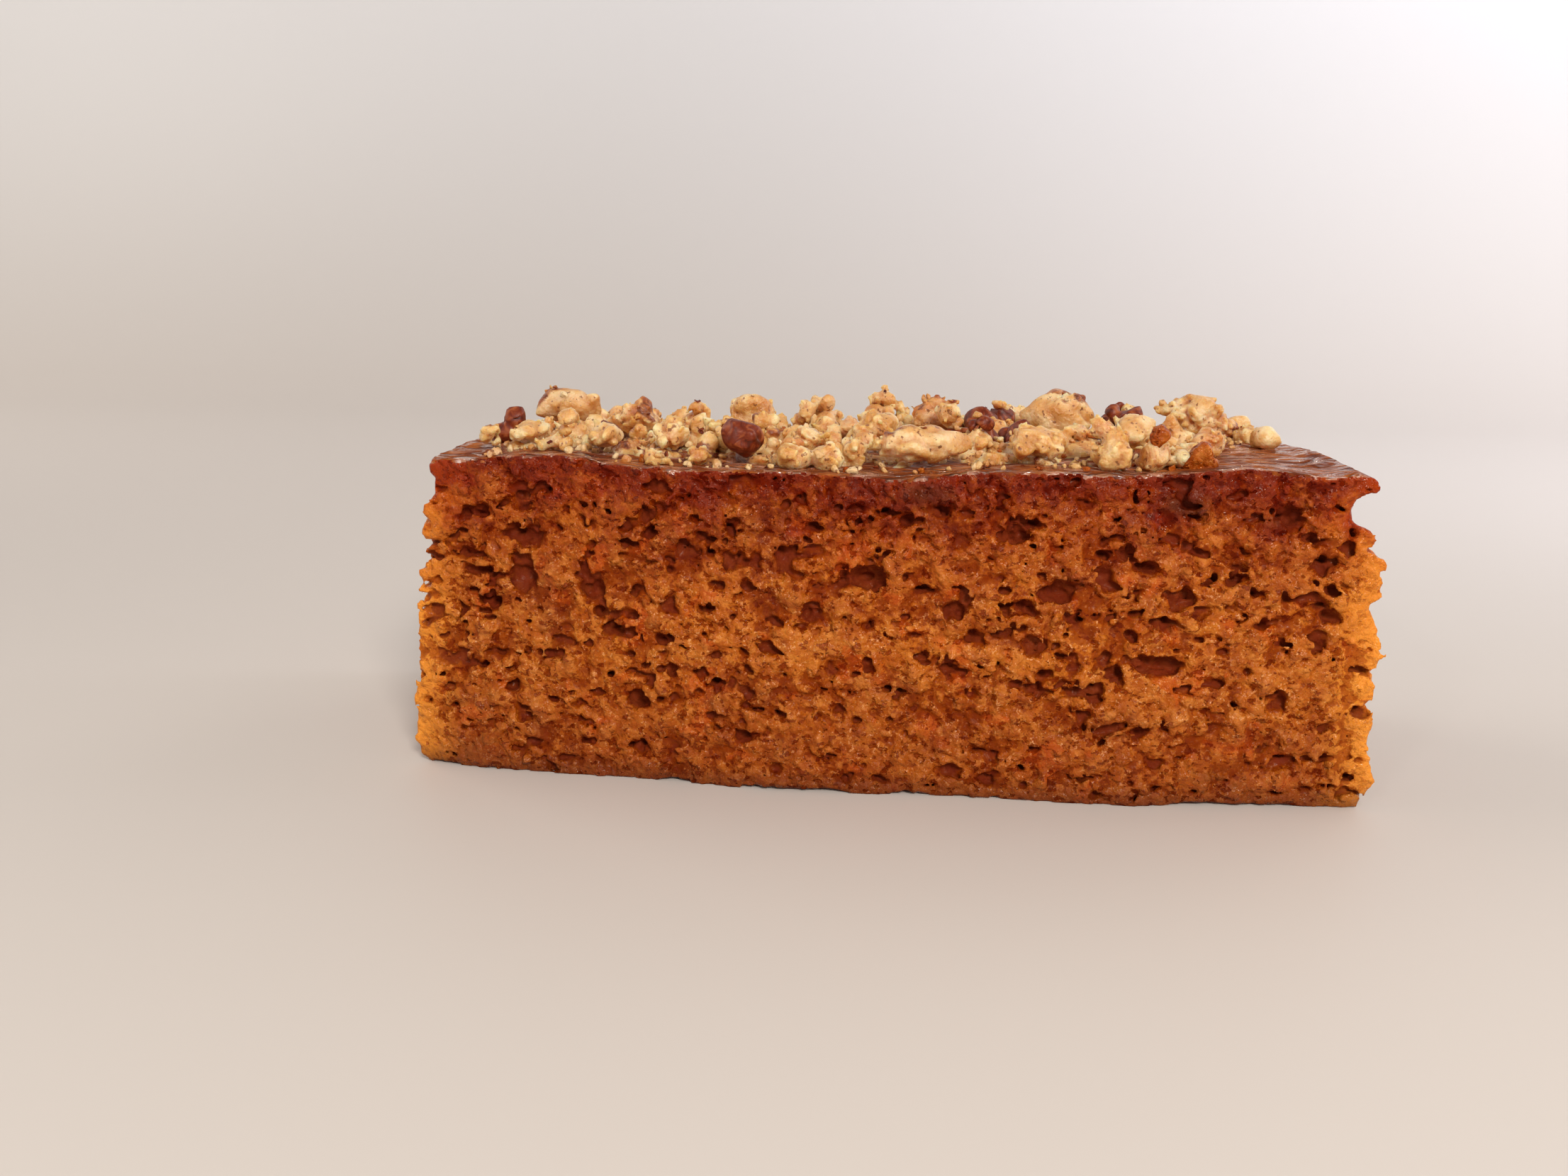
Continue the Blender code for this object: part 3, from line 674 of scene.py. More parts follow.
def openCrumb():
    # moist sponge crumb cut with a knife: golden brown, redder and with painted shade in its pores, with
    # wet grains that glint
    made, tree, shader, spot = newMaterial("moist_sponge_crumb", {
        "IOR": 1.33, "Specular Tint": toLinear("#FFEEDC"), "Subsurface Weight": 0.10,
        "Subsurface Scale": 1.2 * mm, "Subsurface Radius": (1.0, 0.32, 0.08)})
    values = namedValues(tree, spot, ("pit", "crustDepth", "edgeDepth", "stain"), {
        "patches": (7, 3.0, 0.6, 0.0), "fine": (1.5, 4.0, 0.65, 0.0), "carrot": (4.5, 1.5, 0.5, 0.6),
        "border": (6.0, 5.0, 0.70, 0.0), "grains": (0.34, 1.0, 0.6, 0.0), "wet": (0.50, 2.0, 0.7, 0.0),
        "gloss": (0.9, 2.0, 0.6, 0.0), "dusk": (9.0, 3.0, 0.6, 0.4), "golden": (1.2, 4.0, 0.65, 0.4),
        "pinholes": (1.15, 3.0, 0.6, 0.0, (1.0, 1.0, 1.35))})     # too fine for the mesh, wider than high
    values["height"] = addNode(tree, "ShaderNodeSeparateXYZ", links={0: spot}).outputs["Z"]
    values["beads"] = addNode(tree, "ShaderNodeTexVoronoi", {"Scale": 1 / (0.75 * mm)},
                              {"Vector": spot}).outputs["Distance"]
    # fewer pinholes near the upright edges
    deriveValues(tree, values, {"inner": ("edgeDepth", 0.5, 4.0, 0.25, 1.0)})
    values["pins"] = addNode(tree, "ShaderNodeMapRange", {"From Min": 0.585, "From Max": 0.61},
                             {0: values["pinholes"], "To Max": values["inner"]}).outputs[0]
    deriveValues(tree, values, {
        "under": ("border", 26.0, "crustDepth"),    # how far below an uneven line under the crust
        "wall": ("wet", 0.9, "pit"),                # the rim of a pore is finely torn
        "glints": ("gloss", 0.7, "grains"),         # painted glints, only in patches of the cut
        "blot": ("fine", 1.6, "stain"),
        "wetBeads": ("beads", -0.8, "wet"),
        "relief": ("pins", -0.6, "wetBeads"),
        "hollow": ("pins", 0.5, "pit"),
        "strength": ("pit", 0.1, 0.6, 1.0, 0.3),    # the walls of pores are smoother than the cut
        "roughness": ("gloss", 0.42, 0.56, 0.60, 0.13),
        "shine": ("hollow", 0.1, 0.5, 0.45, 0.08),  # and they hardly shine
    })
    body = addNode(tree, "ShaderNodeValToRGB", links={0: values["fine"]},
                   stops=((0.32, "#8A380A"), (0.50, "#AE560E"), (0.66, "#CA7828"))).outputs[0]
    warm = addNode(tree, "ShaderNodeValToRGB", links={0: values["patches"]},
                   stops=((0.34, "#92420C"), (0.50, "#AA520C"), (0.64, "#B86214"))).outputs[0]
    colour = addNode(tree, "ShaderNodeMix", {"data_type": "RGBA", 0: 0.40}, {6: body, 7: warm}).outputs[2]
    # each tint: what steers it, from, to, share at each end, colour, way of blending
    colour = tintOver(tree, colour, values, (
        ("carrot", 0.60, 0.66, 0.0, 0.50, "#C2500C", "MIX"),            # grated carrot
        ("dusk", 0.56, 0.66, 0.0, 0.35, "#7A3A1C", "MIX"),              # duller, browner places
        ("golden", 0.54, 0.60, 0.0, 0.34, "#E29040", "MIX"),            # clumps of pale crumb
        ("pit", -0.10, -0.80, 0.0, 0.28, "#E8984A", "MIX"),             # painted light: raised crumbs are paler
        ("glints", 1.02, 1.08, 0.0, 0.38, "#FAB878", "MIX"),            # painted glints where wet grains catch the light
        ("height", 3 * mm, 18 * mm, 1.0, 0.0, "#E0CEC2", "MULTIPLY"),   # darker and duller towards the bottom
        ("edgeDepth", 0.2, 6.0, 0.80, 0.0, "#F29834", "MIX"),           # painted glow of light through the upright edges
        ("under", 14.0, 33.0, 1.0, 0.0, "#D09E6C", "MULTIPLY"),         # browner towards the crust
        ("under", 14.4, 20.0, 1.0, 0.0, "#CE9858", "MULTIPLY"),         # and once more close under it
        ("height", 0.5 * mm, 3.0 * mm, 0.70, 0.0, "#5E2408", "MIX"),    # darker at the foot: a denser base, and painted shade where it meets the floor
        ("blot", 1.05, 1.90, 0.0, 0.85, "#521C0A", "MIX"),              # dark wet places
        ("pins", 0.0, 1.0, 0.0, 0.72, "#A85C38", "MULTIPLY"),           # pinholes too fine for the mesh, with their shade painted
        ("wall", 0.64, 0.78, 0.0, 0.60, "#A45430", "MULTIPLY"),         # pore walls: redder crumb with painted shade
        ("wall", 0.90, 1.40, 0.0, 0.75, "#6C2614", "MIX"),              # and their depths, with deeper painted shade
    ))
    bump = addNode(tree, "ShaderNodeBump", {"Distance": 0.26 * mm},
                   {"Height": values["relief"], "Strength": values["strength"]})
    plug(tree, shader, {"Base Color": colour, "Roughness": values["roughness"],
                        "Specular IOR Level": values["shine"], "Normal": bump.outputs[0]})
    return made


def bakedCrust():
    # thin baked skin, tacky with sugar: red brown, finely wrinkled, its ridges shine whitish at a low angle
    made, tree, shader, spot = newMaterial("browned_sugary_crust", {
        "IOR": 1.55, "Subsurface Weight": 0.06, "Subsurface Scale": 0.8 * mm,
        "Subsurface Radius": (1.0, 0.4, 0.2)})
    # wrinkles run along the slice, a little longer than wide
    values = namedValues(tree, spot, (), {"mottle": (4, 5.0, 0.65, 0.0),
                                          "wrinkles": (1.7, 2.5, 0.5, 0.9, (0.55, 1.0, 1.0))})
    colour = addNode(tree, "ShaderNodeValToRGB", links={0: values["mottle"]},
                     stops=((0.34, "#5A2008"), (0.50, "#8C4214"), (0.66, "#B06228"))).outputs[0]
    # painted whitish sheen on the ridges, which are tacky, while the folds between them are matt
    colour = tintOver(tree, colour, values, (("wrinkles", 0.52, 0.62, 0.0, 0.50, "#CC9478", "MIX"),))
    deriveValues(tree, values, {"roughness": ("wrinkles", 0.44, 0.56, 0.75, 0.07),
                                "shine": ("wrinkles", 0.44, 0.56, 0.1, 1.0)})
    bump = addNode(tree, "ShaderNodeBump", {"Strength": 1.0, "Distance": 2.4 * mm},
                   {"Height": values["wrinkles"]})
    plug(tree, shader, {"Base Color": colour, "Roughness": values["roughness"],
                        "Specular IOR Level": values["shine"], "Normal": bump.outputs[0]})
    return made


crumbFinish, crustFinish = openCrumb(), bakedCrust()


def dressCake():
    piece = crumbMesh()
    piece.data.materials.append(crumbFinish)
    piece.data.materials.append(crustFinish)
    mesh = piece.data
    count = len(mesh.polygons)
    middles, normals = np.empty(count * 3, np.float32), np.empty(count * 3, np.float32)
    mesh.polygons.foreach_get("center", middles)
    mesh.polygons.foreach_get("normal", normals)
    middles, normals = middles.reshape(-1, 3) / mm, normals.reshape(-1, 3)
    under = crustHeight(middles[:, 0], middles[:, 1]) - middles[:, 2]
    depth, slope = crumb["crusty"]
    crusty = (under < depth) & (normals[:, 2] > slope)
    mesh.polygons.foreach_set("material_index", crusty.astype(np.int32))
    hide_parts("cake")
    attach(piece, "root")
    return piece


cakePiece = dressCake()


# Walnuts

kernelLooks = {
    # for each large piece: shape, how toasted it is, the side that kept its skin, where the skin begins
    "pieces": (("crumbly", 0.10, (0, 0, 1), 2.0), ("waxy", 0.20, (-0.8, 0, 0.6), 0.80),
               ("waxy", 0.10, (0, 0, 1), 2.0), ("crumbly", 0.20, (0.8, -0.1, 0.6), 0.60),
               ("crumbly", 0.00, (0, 0, 1), 2.0), ("skin", 0.00, (0, 0, 1), -2.0),
               ("waxy", 0.10, (0, 0, 1), 2.0), ("crumbly", 0.05, (0.7, -0.5, -0.5), 0.90),
               ("crumbly", 0.00, (0, 0, 1), 2.0), ("waxy", 0.12, (-0.5, 0, 0.85), 0.86),
               ("crumbly", 0.45, (-0.5, 0, 0.85), 0.75), ("crumbly", 0.05, (0, 0, 1), 2.0),
               ("waxy", 0.12, (0.3, 0, 0.95), 0.95), ("crumbly", 0.05, (0, 0, 1), 2.0),
               ("crumbly", 0.08, (0.8, 0, -0.6), 0.90)),
    "breaks": {"waxy": (4, 0.66), "crumbly": (8, 0.60), "skin": (8, 0.56)},   # flat faces, least reach
    "sunk": 0.13,                                    # of a piece's height, so that it meets the crust
    # grid, coarseness, smallest island, how far the relief is let out, and its share
    "pieceMesh": (0.20, 0.02, 300, 0.22, 1.0), "bitMesh": (0.29, 0.05, 320, 0.16, 0.85),
    # how crumbly each kind is, and the cell and height of the lumps under brown skin
    "pieceRelief": {"waxy": -0.55, "crumbly": 0.50, "skin": (1.7, 0.36)},
    "bitRelief": {"waxy": -0.5, "crumbly": 0.7, "skin": (1.6, 0.20)},
    "bitReliefSeeds": {"waxy": 61, "crumbly": 61, "skin": 66},
    # unevenness of the skin's border: cell, reach, width
    "pieceBorder": (1.3, 0.22, 0.06), "bitBorder": (1.2, 0.25, 0.08),
    "pieceSeed": 40, "pieceBorderSeed": 90, "bitBorderSeed": 81, "bitSeed": 900, "bitBreakSeed": 700,
    "toastVary": 0.25, "bitSkinBegins": (0.55, 1.9),
    "added": {(32.0, 8.5, 6.4): "skin", (-49.6, -3.5, 3.6): "skin"},      # bits that the CAD doesn't have
    # the chunks between the bits: how many with them, least, most and usual size, and the top of the heap
    "chunks": 300, "chunkSize": (1.8, 5.2, 3.2), "chunkSeed": 12, "chunkCorners": 16, "heapTop": 42.6,
    # their width and height, and as shares of the size half a height and the room to the pieces
    "chunkForm": ((0.7, 1.0), (0.65, 0.95)), "chunkHalf": 0.4, "chunkRest": 0.6, "chunkClear": 0.55,
    "chunkPast": (0.5, 1.6, 0.5),                    # past the heap's front and back, and in from its left
    "grid": ((-53, -19, 36.5), (53, 20.8, 46.8)), "footUnder": 0.7,
    "bed": (1.0, 2.2, -12.5), "bedCover": 0.3,       # height, cell and front border of the fine bed
    "bedInset": (1, 3), "bedFade": (-1, 3, 2), "bedSunk": 1, "bedSeed": 60,   # it thins out at its border
    "bitToast": 0.35, "brownBits": 0.24, "brownFrom": -7.0,      # share of brown bits, and behind which y
}


def walnutMeat(name, through):
    # broken walnut meat: cream, waxy, lets light through, toasted or brown where the values say
    made, tree, shader, spot = newMaterial(name, {
        "IOR": 1.48, "Roughness": 0.33, "Subsurface Weight": through, "Subsurface Scale": 2.0 * mm,
        "Subsurface Radius": (1.0, 0.74, 0.46)})
    values = namedValues(tree, spot, ("toast", "skin", "crease"), {
        "body": (2.6, 4.0, 0.5, 0.0), "specks": (0.7, 2.0, 0.5, 0.0), "veins": (1.2, 4.0, 0.5, 1.0),
        "grain": (0.45, 3.0, 0.5, 0.0)})
    meat = addNode(tree, "ShaderNodeValToRGB", links={0: values["body"]},
                   stops=((0.36, "#C88E48"), (0.50, "#DEB070"), (0.62, "#ECCE9C"))).outputs[0]
    meat = tintOver(tree, meat, values, (
        ("toast", 0.0, 1.0, 0.0, 1.0, "#B85C14", "MIX"),
        ("crease", 0.05, 0.70, 0.0, 0.90, "#D8924C", "MULTIPLY"),     # painted shade between the grains, warm as if lit through the meat
        ("specks", 0.63, 0.68, 0.0, 0.85, "#84481E", "MIX")))
    papery = addNode(tree, "ShaderNodeValToRGB", links={0: values["veins"]},
                     stops=((0.35, "#6A3216"), (0.52, "#955024"), (0.68, "#C08648"))).outputs[0]
    colour = addNode(tree, "ShaderNodeMix", {"data_type": "RGBA"}, {0: values["skin"], 6: meat, 7: papery})
    bump = addNode(tree, "ShaderNodeBump", {"Strength": 0.75, "Distance": 0.4 * mm},
                   {"Height": values["grain"]})
    plug(tree, shader, {"Base Color": colour.outputs[2], "Normal": bump.outputs[0]})
    return made


def walnutSkin():
    # the papery brown skin of the kernel, tight, veined and slightly shiny
    made, tree, shader, spot = newMaterial("walnut_brown_skin", {
        "IOR": 1.44, "Roughness": 0.42, "Specular IOR Level": 0.30})
    veins = namedValues(tree, spot, (), {"veins": (1.6, 5.0, 0.5, 1.4)})["veins"]
    colour = addNode(tree, "ShaderNodeValToRGB", links={0: veins},
                     stops=((0.34, "#501A08"), (0.50, "#72280E"), (0.68, "#A0542A")))
    bump = addNode(tree, "ShaderNodeBump", {"Strength": 0.6, "Distance": 0.2 * mm}, {"Height": veins})
    plug(tree, shader, {"Base Color": colour.outputs[0], "Normal": bump.outputs[0]})
    return made


meatFinish, fineFinish = walnutMeat("broken_walnut_kernel", 0.90), walnutMeat("fine_walnut_crumbs", 0.0)
skinFinish = walnutSkin()


def kernelGrain(kind, axes, seed, relief, share):
    # relief of one kind of kernel: lumps under brown skin, or broken meat
    if kind == "skin":
        cell, height = relief[kind]
        return height * nodules(axes, cell, seed)
    return share * meatRelief(axes, seed, relief[kind])


def walnutPiece(name, kind, points, faces, values):
    piece = meshFrom(name, points, faces)
    giveValues(piece, values)
    piece.data.materials.append(skinFinish if kind == "skin" else meatFinish)
    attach(piece, "root")
    return piece


def dressPieces():
    made = []
    step, coarse, least, out, share = kernelLooks["pieceMesh"]
    cell, reach, wide = kernelLooks["pieceBorder"]
    for number, (kind, toasted, way, begins) in enumerate(kernelLooks["pieces"], 1):
        node = f"walnut_{number:02d}"
        seed = kernelLooks["pieceSeed"] + number
        corners = np.array([v.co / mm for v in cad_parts[node].data.vertices])
        corners[:, 2] -= kernelLooks["sunk"] * (corners[:, 2] - corners[:, 2].min())
        lowest, highest = corners.min(0), corners.max(0)
        axes = gridAxes(lowest - 3 * step, highest + 3 * step, step)
        relief = kernelGrain(kind, axes, seed, kernelLooks["pieceRelief"], share)
        field = brokenHull(axes, corners, *kernelLooks["breaks"][kind], seed) + relief - out
        points, faces = surfaceOf(field, axes, step, coarse, least)
        borderNoise = softNoise(axes, cell, kernelLooks["pieceBorderSeed"] + number)
        uneven = sampleField(borderNoise, axes, step, points)
        middle, half = (lowest + highest) / 2, (highest - lowest) / 2
        side = ((points - middle) / half) @ np.array(way) + reach * uneven
        piece = walnutPiece(f"walnut_piece_{number:02d}", kind, points, faces, {
            "toast": np.clip(toasted + kernelLooks["toastVary"] * toasted * uneven, 0, 1),
            "skin": smoothStep(begins - wide, begins + wide, side),
            "crease": sampleField(relief, axes, step, points)})
        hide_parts(node)
        made.append(piece)
    print("carrot cake: walnut pieces", len(made))
    return made


def roundLump(size, draw):
    # corners of a chunk with a few flat sides, for the rest of the heap
    half = np.array([1.0, *(draw.uniform(*reach) for reach in kernelLooks["chunkForm"])]) * size / 2
    spin = np.array(Matrix.Rotation(draw.uniform(0, fullTurn), 3, "Z"))
    return [Vector(spin @ (np.array(anyWay(draw)) * half)) for _ in range(kernelLooks["chunkCorners"])]


def fineBed(axes):
    # the finest of the heap is a bed on the crust, with gaps
    x, y, z = np.ix_(*axes)
    thick, cell, front = kernelLooks["bed"]
    atLeft, atRight = kernelLooks["bedInset"]
    within = np.minimum(np.minimum(x - nuts["heapLeft"] - atLeft, heapRight(y) - atRight - x),
                        np.minimum(y - front, nuts["heapBack"] - y))
    ground = crustHeight(x, y)
    cover = softNoise(axes, cell, kernelLooks["bedSeed"]) + kernelLooks["bedCover"]
    low, high, sinks = kernelLooks["bedFade"]
    bed = z - ground - thick * cover + sinks * (1 - smoothStep(low, high, within))
    foot = ground - kernelLooks["bedSunk"] - z
    return np.minimum(np.maximum(bed, np.maximum(foot, -within)), 1).astype(np.float32)


def heapRows(fixed):
    # x, y, size and number in the CAD of each bit; the chunks between them have no number
    bits = [(x, y, size, number) for number, (x, y, size) in enumerate(bitPlaces())
            if fixed.get((x, y, size)) != "cake"]
    bits += [(*spot, -1) for spot in kernelLooks["added"]]
    draw = random.Random(kernelLooks["chunkSeed"])
    atFront, atBack, atLeft = kernelLooks["chunkPast"]
    while len(bits) < kernelLooks["chunks"]:
        y = draw.uniform(nuts["heapFront"] - atFront, nuts["heapBack"] + atBack)
        x = draw.uniform(nuts["heapLeft"] + atLeft, heapRight(y))
        size = draw.triangular(*kernelLooks["chunkSize"])
        if clearOfPieces(x, y, size * kernelLooks["chunkClear"]):
            bits.append((x, y, size, -1))
    return bits


def fillHeap(axes, step):
    # fields of the bits by kind, and a row for each bit that the finishes need
    shape = [len(a) for a in axes]
    fields = {kind: np.full(shape, 1.0, np.float32) for kind in ("waxy", "crumbly", "skin")}
    fields["crumbly"] = fineBed(axes)
    out = kernelLooks["bitMesh"][3]
    rows = {kind: [] for kind in fields}
    fixed = {**dict(zip(nuts["fixedBits"], nuts["fixedLooks"])), **kernelLooks["added"]}
    for order, (x, y, size, number) in enumerate(heapRows(fixed)):
        draw = random.Random(kernelLooks["bitSeed"] + order)
        if number < 0:
            # a chunk rests on what is below it
            corners, halfTall = roundLump(size, draw), size * kernelLooks["chunkHalf"]
            column = tuple(min(max(int((v - a[0]) / step), 0), len(a) - 1) for v, a in zip((x, y), axes))
            filled = np.where(np.minimum.reduce([field[column] for field in fields.values()]) < 0)[0]
            below = float(axes[2][filled[-1]]) if len(filled) else float(crustHeight(x, y))
            if below > kernelLooks["heapTop"]:
                continue
            lift = below + halfTall * kernelLooks["chunkRest"]
        else:
            corners, halfTall = bitShape(number, size)
            lift = float(crustHeight(x, y)) + halfTall * (1 - 2 * nuts["bitSunk"])
        corners = [c + Vector((x, y, lift)) for c in corners]
        points = np.array(corners)
        part = partOf(axes, step, points.min(0) - 3 * step, points.max(0) + 3 * step)
        brown = draw.random() < kernelLooks["brownBits"] and y > kernelLooks["brownFrom"]
        kind = fixed.get((x, y, size), "skin" if brown else draw.choice(("waxy", "crumbly", "crumbly")))
        toast = 0.0 if (x, y, size) in fixed else kernelLooks["bitToast"] * draw.random() ** 2
        local = [a[p] for a, p in zip(axes, part)]
        form = brokenHull(local, corners, *kernelLooks["breaks"][kind], kernelLooks["bitBreakSeed"] + order)
        fields[kind][part] = np.minimum(fields[kind][part], form - out)
        skinBegins = (*anyWay(draw), draw.uniform(*kernelLooks["bitSkinBegins"]))
        rows[kind].append((x, y, lift, size / 2, toast, *skinBegins))
    return fields, {kind: np.array(found) for kind, found in rows.items()}


def dressBits():
    # the small bits of the CAD's heap and the chunks between them, one joined piece for each finish
    step, coarse, least, _, share = kernelLooks["bitMesh"]
    axes = gridAxes(*kernelLooks["grid"], step)
    x, y, z = np.ix_(*axes)
    # what is sunk deeper in the cake stays out of sight, so each bit ends in a flat foot there
    foot = crustHeight(x, y) - kernelLooks["footUnder"] - z
    cell, reach, wide = kernelLooks["bitBorder"]
    unevenness = softNoise(axes, cell, kernelLooks["bitBorderSeed"])
    fields, rows = fillHeap(axes, step)
    made = []
    for kind, field in fields.items():
        seed = kernelLooks["bitReliefSeeds"][kind]
        grain = kernelGrain(kind, axes, seed, kernelLooks["bitRelief"], share)
        points, faces = surfaceOf(np.maximum(field + grain, foot), axes, step, coarse, least)
        # each point takes its looks from the bit that it belongs to
        middles, sizes = rows[kind][None, :, :3], rows[kind][None, :, 3]
        near = [(((some[:, None, :3] - middles) ** 2).sum(-1) / sizes ** 2).argmin(1)
                for some in np.array_split(points, 40)]
        mine = rows[kind][np.concatenate(near)]
        uneven = sampleField(unevenness, axes, step, points)
        side = ((points - mine[:, :3]) * mine[:, 5:8]).sum(1) / mine[:, 3] + reach * uneven
        made.append(walnutPiece(f"walnut_bits_{kind}", kind, points, faces, {
            "toast": mine[:, 4],
            "skin": smoothStep(mine[:, 8] - wide, mine[:, 8] + wide, side),
            "crease": sampleField(grain, axes, step, points)}))
        print("carrot cake: bits of", kind, len(faces[0]) + 2 * len(faces[1]), "triangles")
    return made


pieces = dressPieces()
bits = dressBits()


# Loose crumbs and flakes, dropped onto what lies below them

looseBits = {
    "walnutCrumbs": 520, "walnutCrumbSize": (0.4, 1.9, 0.8), "flakes": 150, "flakeSize": (0.4, 1.3, 0.7),
    "cakeCrumbs": 46, "cakeCrumbSize": (0.5, 1.8, 0.8), "seed": 77,
    # how many kinds, how fine, how knobbly, flat sides and seed
    "walnutCrumbShapes": (8, 2, 0.30, 7, 3), "cakeCrumbShapes": (5, 3, 0.45, 2, 9),
    "sideAt": (0.42, 0.80), "sideFlat": 0.94, "closeKnobs": 0.4,
    # crumbs with a place of their own: x, y and size
    "fixedWalnut": ((-3.5, -16.0, 1.9), (-30.0, -15.6, 1.6), (-19.4, -15.2, 1.8)),
    "fixedCake": ((35.8, -13.8, 4.2), (36.4, -13.4, 3.0), (31.0, -14.6, 2.4)),
    # past the heap's front and back, in from its left and past its right
    "past": (1.2, 1.0, 0.5, 1.0),
    "strays": (0.06, -52, 6),                 # a few lie anywhere from here to so far past the right
    "groundFrom": 37, "groundSlope": -0.2,    # a crumb comes to rest on faces above this height and slope
    "dropFrom": 60, "lowest": 37.5,           # one that would land lower is left out
    "steep": (0.35, 0.8),                     # where the ground is steeper than this, most are left out
    "high": (41.4, 0.93, 0.6),                # and so are most above this height, of crumbs and of flakes
    "form": ((0.7, 1.0), (0.65, 1.0)),
    "sink": 0.30, "settle": 0.8, "flakeLift": 0.12, "flakeTilt": 0.7, "toast": 0.6,
    # what the finishes read on a loose crumb: far below the crust, and far in from the edges
    "plain": {"skin": 0.0, "crease": 0.0, "pit": 0.0, "stain": 0.0, "crustDepth": 11.0, "edgeDepth": 12.0},
}


def landing(things):
    # one tree of all the faces that a crumb can come to rest on
    corners, sides, start = [], [], 0
    for thing in things:
        mesh = thing.data
        place = np.empty(len(mesh.vertices) * 3, np.float32)
        mesh.vertices.foreach_get("co", place)
        corners += (place.reshape(-1, 3) / mm).tolist()
        sides += [[start + v for v in face.vertices] for face in mesh.polygons
                  if face.center.z > looseBits["groundFrom"] * mm
                  and face.normal.z > looseBits["groundSlope"]]
        start += len(mesh.vertices)
    return BVHTree.FromPolygons(corners, sides)


def brokenShapes(kinds, fineness, knobbly, chops, seed):
    # a few different small broken lumps to repeat
    made = []
    for kind in range(kinds):
        draw = random.Random(seed + kind)
        ball = bmesh.new()
        bmesh.ops.create_icosphere(ball, subdivisions=fineness, radius=1.0)
        shift = Vector((seed + 7.3 * kind, 1.7 * kind, 0))
        sides = [(anyWay(draw), draw.uniform(*looseBits["sideAt"])) for _ in range(chops)]
        for vert in ball.verts:
            broad, close = noise.noise(vert.co * 1.5 + shift), noise.noise(vert.co * 3.7 + shift)
            place = vert.co * (1 + knobbly * broad + looseBits["closeKnobs"] * knobbly * close)
            vert.co = chopOff(place, sides, looseBits["sideFlat"])
        made.append((np.array([v.co for v in ball.verts]),
                     np.array([[v.index for v in f.verts] for f in ball.faces])))
        ball.free()
    return made


def flakeShape():
    # a thin bent chip of skin, closed on both sides
    rows, columns, thick = 3, 4, 0.10
    outline = []
    for rise in (0.0, thick):
        for row in range(rows):
            for column in range(columns):
                u, v = column / (columns - 1) * 2 - 1, row / (rows - 1) * 2 - 1
                wide = 1 - 0.35 * abs(v) - 0.2 * v * u
                outline.append((u * wide, v * 0.62, 0.34 * (u * u - 0.4) + 0.16 * v + rise))
    count = rows * columns
    sides = []
    for row in range(rows - 1):
        for column in range(columns - 1):
            a = row * columns + column
            b, c, d = a + 1, a + columns + 1, a + columns
            sides += [[a + count, b + count, c + count], [a + count, c + count, d + count],
                      [c, b, a], [d, c, a]]
    rim = (list(range(columns)) + [r * columns + columns - 1 for r in range(1, rows)]
           + [(rows - 1) * columns + c for c in range(columns - 2, -1, -1)]
           + [r * columns for r in range(rows - 2, 0, -1)])
    for a, b in zip(rim, rim[1:] + rim[:1]):
        sides += [[a, b, b + count], [a, b + count, a + count]]
    return [(np.array(outline), np.array(sides))]


def scatter(name, shapes, count, sizes, ground, draw, finish, region, flat=False, fixed=()):
    # drops shapes onto the ground, joined as one piece: first the fixed ones, then ones drawn at random
    corners, sides, toasts, start, placed = [], [], [], 0, 0
    leastSlope, steepShare = looseBits["steep"]
    highest, highCrumbs, highFlakes = looseBits["high"]
    lift = looseBits["flakeLift"] if flat else 1 - 2 * looseBits["sink"]
    lean = looseBits["flakeTilt"]
    for turn in range(count * 6):
        if placed == count:
            break
        own = fixed[turn] if turn < len(fixed) else None
        x, y = own[:2] if own else region(draw)
        hit, normal, _, _ = ground.ray_cast(Vector((x, y, looseBits["dropFrom"])), Vector((0, 0, -1)))
        if hit is None or hit.z < looseBits["lowest"]:
            continue
        steep = normal.z < leastSlope and draw.random() < steepShare
        high = hit.z > highest and draw.random() < (highFlakes if flat else highCrumbs)
        if not own and (steep or high):
            continue
        size = own[2] if own else draw.triangular(*sizes)
        shape, faces = draw.choice(shapes)
        spin = Matrix.Rotation(draw.uniform(0, fullTurn), 3, "Z")
        if flat:
            tilt = normal.to_track_quat("Z", "Y").to_matrix()
            pose = tilt @ Matrix.Rotation(draw.uniform(-lean, lean), 3, "X") @ spin
        else:
            tilt = Matrix.Rotation(draw.uniform(0, fullTurn), 3, "X")
            pose = spin @ tilt @ Matrix.Rotation(draw.uniform(0, fullTurn), 3, "Y")
        scale = np.array([1.0, *(draw.uniform(*reach) for reach in looseBits["form"])]) * size / 2
        place = np.array(hit) + np.array(normal) * size / 2 * lift * looseBits["settle"]
        corners.append((shape * scale) @ np.array(pose).T + place)
        sides.append(faces + start)
        toasts.append(np.full(len(shape), draw.random() ** 3 * looseBits["toast"]))
        start += len(shape)
        placed += 1
    points = np.concatenate(corners)
    piece = meshFrom(name, points, [np.concatenate(sides)])
    giveValues(piece, {"toast": np.concatenate(toasts)})
    giveValues(piece, {value: np.full(len(points), held) for value, held in looseBits["plain"].items()})
    piece.data.materials.append(finish)
    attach(piece, "root")
    print("carrot cake:", name, placed)
    return piece


def overHeap(draw):
    # mostly over the heap, a few just past its border
    atFront, atBack, atLeft, atRight = looseBits["past"]
    few, left, past = looseBits["strays"]
    y = draw.uniform(nuts["heapFront"] - atFront, nuts["heapBack"] + atBack)
    right = heapRight(y)
    x = draw.uniform(nuts["heapLeft"] + atLeft, right + atRight)
    if draw.random() < few:
        x = draw.uniform(left, right + past)
    return x, y


